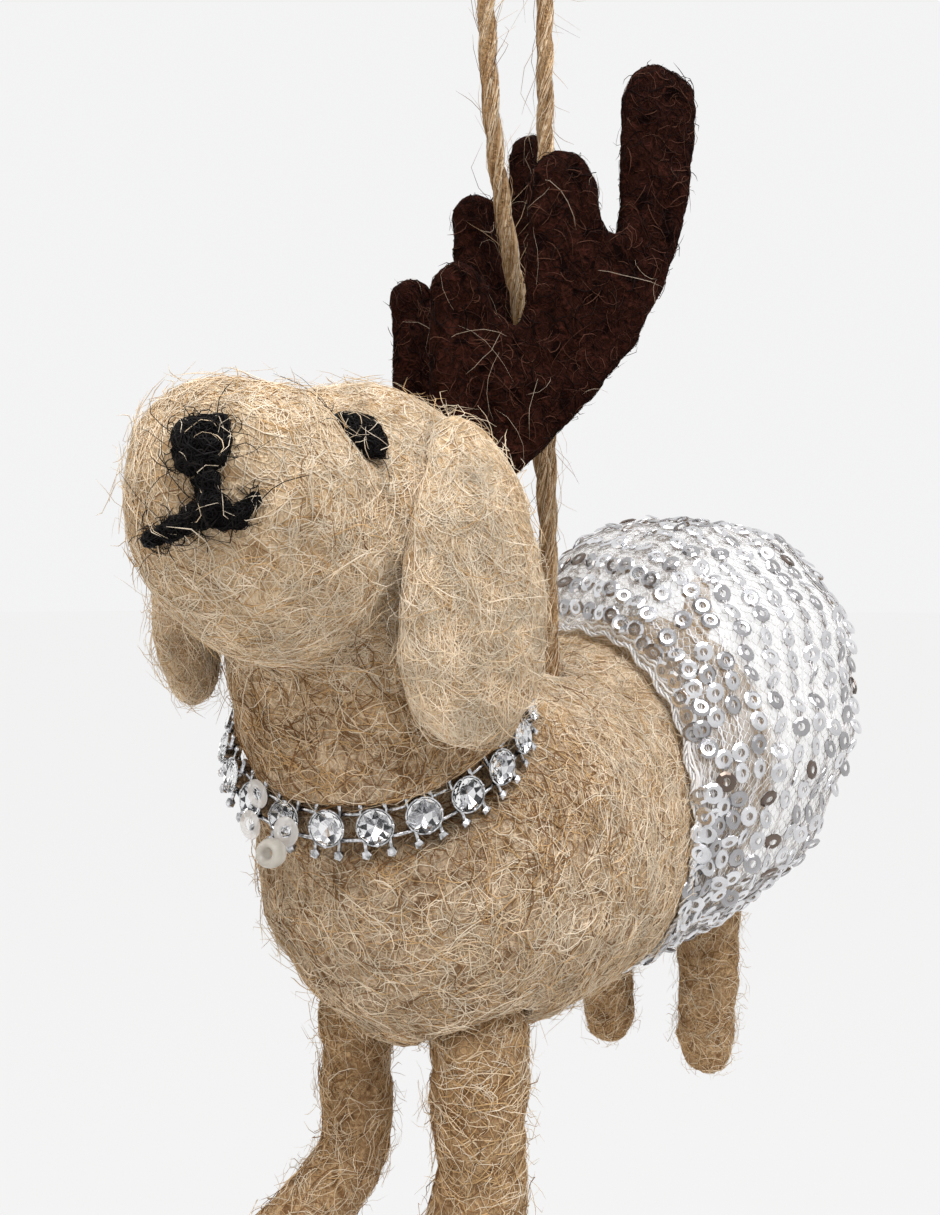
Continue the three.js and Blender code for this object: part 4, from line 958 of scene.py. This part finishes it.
# Trim on the collar. A small milky bead and three clear sequins are threaded on the front
# of the chain.
milky = patchy_material("milky_plastic", (0.93, 0.90, 0.84), 0.12)
fill(milky.node_tree, milky.node_tree.nodes["Principled BSDF"], Transmission_Weight=0.45,
     IOR=1.4)
clear_film = patchy_material("clear_sequin", (0.94, 0.93, 0.93), 0.12, alpha=0.45, vary=0.08)
for node, name, finish in [("collar_bead", "milky_bead", milky)] + [
        (f"collar_sequin_{i}", f"clear_sequin_{i}", clear_film) for i in (1, 2, 3)]:
    trim = solid_copy(name, [node], 0.005 * mm, finish)
    modify("SUBSURF", levels=2, render_levels=2)
    bpy.ops.object.shade_smooth()
    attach(trim, "collar")
    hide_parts(node)


# Skirt. A tube of soft white net gathered round the waist and sewn with rows of silver
# ring sequins on chain-stitched thread. It stands off the rump and is open at the hem.
dog_to_part = Vector((-4.6, -13, -152.9)) * mm
skirt_width = 51.5 * mm
skirt_bottom, skirt_top = 23.2 * mm, 85.5 * mm
skirt_front, skirt_rear, hem_bottom = 33.6 * mm, 75.6 * mm, 56 * mm
skirt_turn_y = 41 * mm
skirt_matrix = (Matrix.Translation(dog_to_part)
                @ Matrix.Translation((0.8 * mm, skirt_turn_y, 0))
                @ Matrix.Rotation(math.radians(-15), 4, "Z")
                @ Matrix.Translation((0, -skirt_turn_y, 0)))
# Shares: bottom and top of each row along Y, bottom and top height, width
skirt_shares = np.array([
    [0, 0.045, 0, 0.745, 0.84],
    [0.05, 0.06, 0, 0.83, 0.885],
    [0.14, 0.14, 0.005, 0.915, 0.925],
    [0.28, 0.27, 0.01, 0.972, 0.965],
    [0.46, 0.44, 0.02, 0.998, 1],
    [0.66, 0.64, 0.03, 1.003, 1],
    [0.85, 0.84, 0.04, 0.992, 0.98],
    [1, 1, 0.05, 0.95, 0.94],
])
row_places = np.linspace(0, 1, len(skirt_shares))
skirt_clear, sequin_lift, stitch_lift = 0.55 * mm, 0.25 * mm, 0.3 * mm
body_middle = np.array([0, 30, -100]) * mm


def skirt_points(along, turn, out=0.0):
    """Points on the net: along from waist to hem, turn round the body."""
    along, turn = np.broadcast_arrays(np.asarray(along, float), np.asarray(turn, float))
    low, high, bottom, top, width = (np.interp(along, row_places, skirt_shares[:, i])
                                     for i in range(5))
    bottom_y = skirt_front + low * (hem_bottom - skirt_front)
    top_y = skirt_front + high * (skirt_rear - skirt_front)
    top_z = skirt_bottom + top * (skirt_top - skirt_bottom)
    bottom_z = skirt_bottom + bottom * (skirt_top - skirt_bottom)
    half_y, half_z = (top_y - bottom_y) / 2, (top_z - bottom_z) / 2
    half = np.hypot(half_y, half_z)
    fold = (0.35 + 0.5 * along) * mm * np.cos(11 * turn) * 0.5 \
        + 0.28 * mm * np.cos(29 * turn + 5 * along) * (1.2 - along)
    reach = (half + fold + out) / half
    x = (width * skirt_width / 2 + fold + out) * np.cos(turn)
    y = (bottom_y + top_y) / 2 + half_y * reach * np.sin(turn)
    z = (bottom_z + top_z) / 2 + half_z * reach * np.sin(turn)
    flat = np.stack([x.ravel(), y.ravel(), z.ravel()], axis=1)
    turned = flat @ np.array(skirt_matrix.to_3x3()).T + np.array(skirt_matrix.translation)
    return clear_of_body(turned).reshape(*x.shape, 3)


def clear_of_body(points):
    """Cloth lies on the wool where it would otherwise pass into it."""
    moved = points.copy()
    for i, p in enumerate(points.tolist()):
        place, normal, _, gap = body_surface[1].find_nearest(p)
        inside = (Vector(p) - place).dot(normal) < 0
        if inside or gap < skirt_clear:
            moved[i] = place + normal * skirt_clear
    return moved


def round_body(count):
    """Even turns all the way round."""
    return np.linspace(0, math.tau, count, endpoint=False)


def grid_mesh(name, points, material):
    """A sheet from rows of points that close on themselves round the body."""
    rows, cols = points.shape[:2]
    r, c = np.meshgrid(np.arange(rows - 1), np.arange(cols), indexing="ij")
    a, b = r * cols + c, r * cols + (c + 1) % cols
    faces = np.stack([a, b, b + cols, a + cols], axis=-1).reshape(-1, 4)
    mesh = bpy.data.meshes.new(name)
    mesh.from_pydata(points.reshape(-1, 3).tolist(), [], faces.tolist())
    corners = np.stack([np.stack([(c + i) / cols, (r + j) / (rows - 1)], axis=-1)
                        for i, j in ((0, 0), (1, 0), (1, 1), (0, 1))], axis=2)
    mesh.uv_layers.new(name="UVMap").uv.foreach_set("vector", corners.ravel())
    mesh.shade_smooth()
    return add_piece(name, mesh, [material])


def net_material():
    """Soft net: folds bunch it into whiter streaks that run with the rows."""
    material, tree, shader = new_material("net_film")
    stretch = add_node(tree, "Mapping", Vector=add_node(tree, "TexCoord")["UV"],
                       Scale=(10, 60, 1))
    streaks = add_node(tree, "TexNoise", Vector=stretch["Vector"], Scale=1, Detail=5,
                       Distortion=0.8)
    cover = add_node(tree, "MapRange", Value=streaks["Fac"], From_Min=0.35, From_Max=0.68,
                     To_Min=0.03, To_Max=0.52)
    fill(tree, shader, Base_Color=(0.96, 0.96, 0.97, 1), Roughness=0.6, Alpha=cover["Result"])
    return material


net_film = net_material()
net_thread = patchy_material("net_thread", (0.97, 0.97, 0.98), 0.45, 0.3, vary=0.08)
seam_thread = patchy_material("seam_thread", (0.90, 0.89, 0.92), 0.5, 0.3, vary=0.12)
# One silver sequin in three copies: its own silver, and painted reflections in a mid and a dark
# brownish tone
sequin_foils = [patchy_material(f"sequin_{shade}", colour, 0.2, metallic=1.0)
                for shade, colour in (("silver", (0.84, 0.84, 0.86)),
                                      ("grey", (0.50, 0.49, 0.50)),
                                      ("bronze", (0.20, 0.155, 0.13)))]
film = grid_mesh("skirt_net", skirt_points(np.linspace(0, 1, 34)[:, None],
                                           round_body(150)[None, :]), net_film)

# The net's six-sided meshes, as threads
mesh_rows, mesh_cols = 46, 122
hex_ends = []
for row in range(mesh_rows):
    for col in range(mesh_cols):
        across = col + 0.5 * (row % 2)
        hex_ends.append([(row + 0.33, across), (row + 0.67, across)])
        if row + 1 < mesh_rows:
            for way in (-0.5, 0.5):
                hex_ends.append([(row + 0.67, across), (row + 1.33, across + way)])
hex_ends = np.array(hex_ends) / (mesh_rows, mesh_cols)
thread_points = skirt_points(hex_ends[..., 0], hex_ends[..., 1] * math.tau)
thread_ups = unit(thread_points[:, :1] - body_middle).repeat(2, axis=1)
threads = tube_mesh("net_threads", thread_points, thread_ups, 0.055 * mm, 3, [net_thread])

# Sequins in rows, with the thread that chains them together
sequin_radius, sequin_hole = 1.3 * mm, 0.52 * mm
row_count, per_row, sequin_sides = 11, 64, 10
missing_share, sequin_tilt = 0.07, 0.23
sequin_bend = sequin_radius * 0.72
# Radius and height of each edge round a cupped sequin: its rim is turned down
sequin_rings = ((sequin_radius, -0.2 * mm), (sequin_radius, -0.1 * mm), (sequin_bend, 0.1 * mm),
                (sequin_hole, 0.06 * mm), (sequin_hole, -0.04 * mm), (sequin_bend, 0))
ring_count = len(sequin_rings)
rng = np.random.default_rng(5)
sequin_verts, sequin_faces, sequin_shade, chain_paths = [], [], [], []
for row in range(row_count):
    along = 0.07 + 0.9 * row / (row_count - 1)
    turns = round_body(per_row) + rng.uniform(0, 0.1)
    here = skirt_points(along, turns, sequin_lift)
    ahead = skirt_points(along, turns + 0.01, sequin_lift)
    below = skirt_points(along + 0.02, turns, sequin_lift)
    run = unit(ahead - here)
    out = unit(np.cross(below - here, run))
    out *= np.sign(np.sum(out * (here - body_middle), axis=1, keepdims=True))
    for k in range(per_row):
        if rng.random() < missing_share:
            continue
        normal = unit(out[k] + rng.normal(0, sequin_tilt, 3))
        a = unit(run[k] - normal * np.dot(run[k], normal))
        b = np.cross(normal, a)
        base = len(sequin_verts)
        centre = here[k] + out[k] * 0.35 * mm + run[k] * rng.normal(0, 0.15) * mm
        for radius, height in sequin_rings:
            for t in np.arange(sequin_sides) * math.tau / sequin_sides:
                sequin_verts.append(centre + (a * math.cos(t) + b * math.sin(t)) * radius
                                    + normal * height)
        for i in range(ring_count):
            near, far = (base + j % ring_count * sequin_sides for j in (i, i + 1))
            for s in range(sequin_sides):
                after = (s + 1) % sequin_sides
                sequin_faces.append((near + s, near + after, far + after, far + s))
        # Most sequins are plain silver; the rest get a painted reflection tone
        sequin_shade.append(rng.choice(3, p=[0.63, 0.335, 0.035]))
    stitch = round_body(per_row * 3)
    for phase in (0, math.pi):
        sway = 0.009 * np.sin(stitch * per_row + phase)
        path = skirt_points(along + sway, stitch, stitch_lift)
        chain_paths.append(np.concatenate([path, path[:1]]))
mesh = bpy.data.meshes.new("sequins")
mesh.from_pydata([tuple(v) for v in sequin_verts], [], sequin_faces)
sequins = add_piece("sequins", mesh, sequin_foils,
                    np.repeat(sequin_shade, ring_count * sequin_sides))
chain_paths = np.array(chain_paths)
stitches = tube_mesh("sequin_stitches", chain_paths, unit(chain_paths - body_middle), 0.1 * mm,
                     4, [seam_thread])

# The gathered edge at the waist: net rolled into a fine cord, with two rows of stitches
edge = skirt_points(0.0, round_body(260))
edge = np.concatenate([edge, edge[:1]])
edge_run = np.linspace(0, np.linalg.norm(np.diff(edge, axis=0), axis=1).sum(), len(edge))
edge_lay = edge_run[-1] / 44
rolls = [twisted(ply_frames(edge), edge, edge_run, i, edge_lay, 0.24 * mm) for i in range(3)]
edge_turns = np.linspace(0, math.tau, len(edge))
for level, waves in ((0.018, 61), (0.036, 47)):
    row = skirt_points(level + 0.006 * np.sin(waves * edge_turns), edge_turns, stitch_lift)
    rolls.append((row, unit(row - body_middle)))
waistband = tube_mesh("skirt_rolled_edge", [p for p, _ in rolls], [u for _, u in rolls],
                      0.165 * mm, 6, [net_thread])
for piece in (film, threads, sequins, stitches, waistband):
    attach(piece, "dog")
for piece in (film, threads, sequins, stitches):
    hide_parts("skirt")
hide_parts("skirt_waistband")


# Floor and light. A white table far below the hanging dog and soft daylight: one wide, cool
# lamp above the dog's left side, a weak warm one at the camera's left, and a warm surround.
floor_z = -320 * mm
lamp_aim = Vector((0, 0, -0.09))
backdrop_white = (0.9, 0.9, 0.903, 1)
floor_glow = (0.912, 0.912, 0.915, 1)
floor_glow_share = 0.95


def camera_sees(tree):
    """1 for rays from the camera, also by way of metal or glass."""
    ray = add_node(tree, "LightPath")
    direct = maths(tree, "MAXIMUM", ray["Is Camera Ray"], ray["Is Glossy Ray"])
    return maths(tree, "MAXIMUM", direct, ray["Is Transmission Ray"])


def show_mixed(tree, share, plain, seen, output):
    """Send a mix of two shaders to the output node."""
    mixed = add_node(tree, "MixShader", share, plain, seen)
    fill(tree, tree.nodes[output], Surface=mixed["Shader"])


bpy.ops.mesh.primitive_plane_add(size=60, location=(0, 0, floor_z))
floor = bpy.context.object
floor.name = "floor"
paper, paper_tree, paper_shader = new_material("white_paper")
paper_plain = fill(paper_tree, paper_shader, Base_Color=(0.93, 0.93, 0.93, 1), Roughness=0.9,
                   Specular_IOR_Level=0)
paper_seen = add_node(paper_tree, "Emission", Color=floor_glow)
show_mixed(paper_tree, maths(paper_tree, "MULTIPLY", camera_sees(paper_tree), floor_glow_share),
           paper_plain["BSDF"], paper_seen["Emission"], "Material Output")
floor.data.materials.append(paper)

world = bpy.data.worlds.new("studio")
bpy.context.scene.world = world
world.use_nodes = True
sky = world.node_tree
surround = fill(sky, sky.nodes["Background"], Color=(1, 0.9, 0.78, 1), Strength=0.45)
backdrop = add_node(sky, "Background", Color=backdrop_white)
show_mixed(sky, camera_sees(sky), surround["Background"], backdrop["Background"],
           "World Output")


def lamp(name, place, size, power, colour):
    bpy.ops.object.light_add(type="AREA", location=place)
    light = bpy.context.object
    light.name = name
    light.data.size = size
    light.data.energy = power
    light.data.color = colour
    light.rotation_euler = (lamp_aim - Vector(place)).to_track_quat("-Z", "Y").to_euler()


lamp("top_softbox", (0.27, -0.17, 0.46), 0.5, 5.5, (0.955, 0.977, 1.0))
lamp("left_softbox", (-0.35, -0.55, 0.1), 0.4, 0.65, (1.0, 0.93, 0.84))

bpy.context.scene.view_settings.view_transform = "Standard"
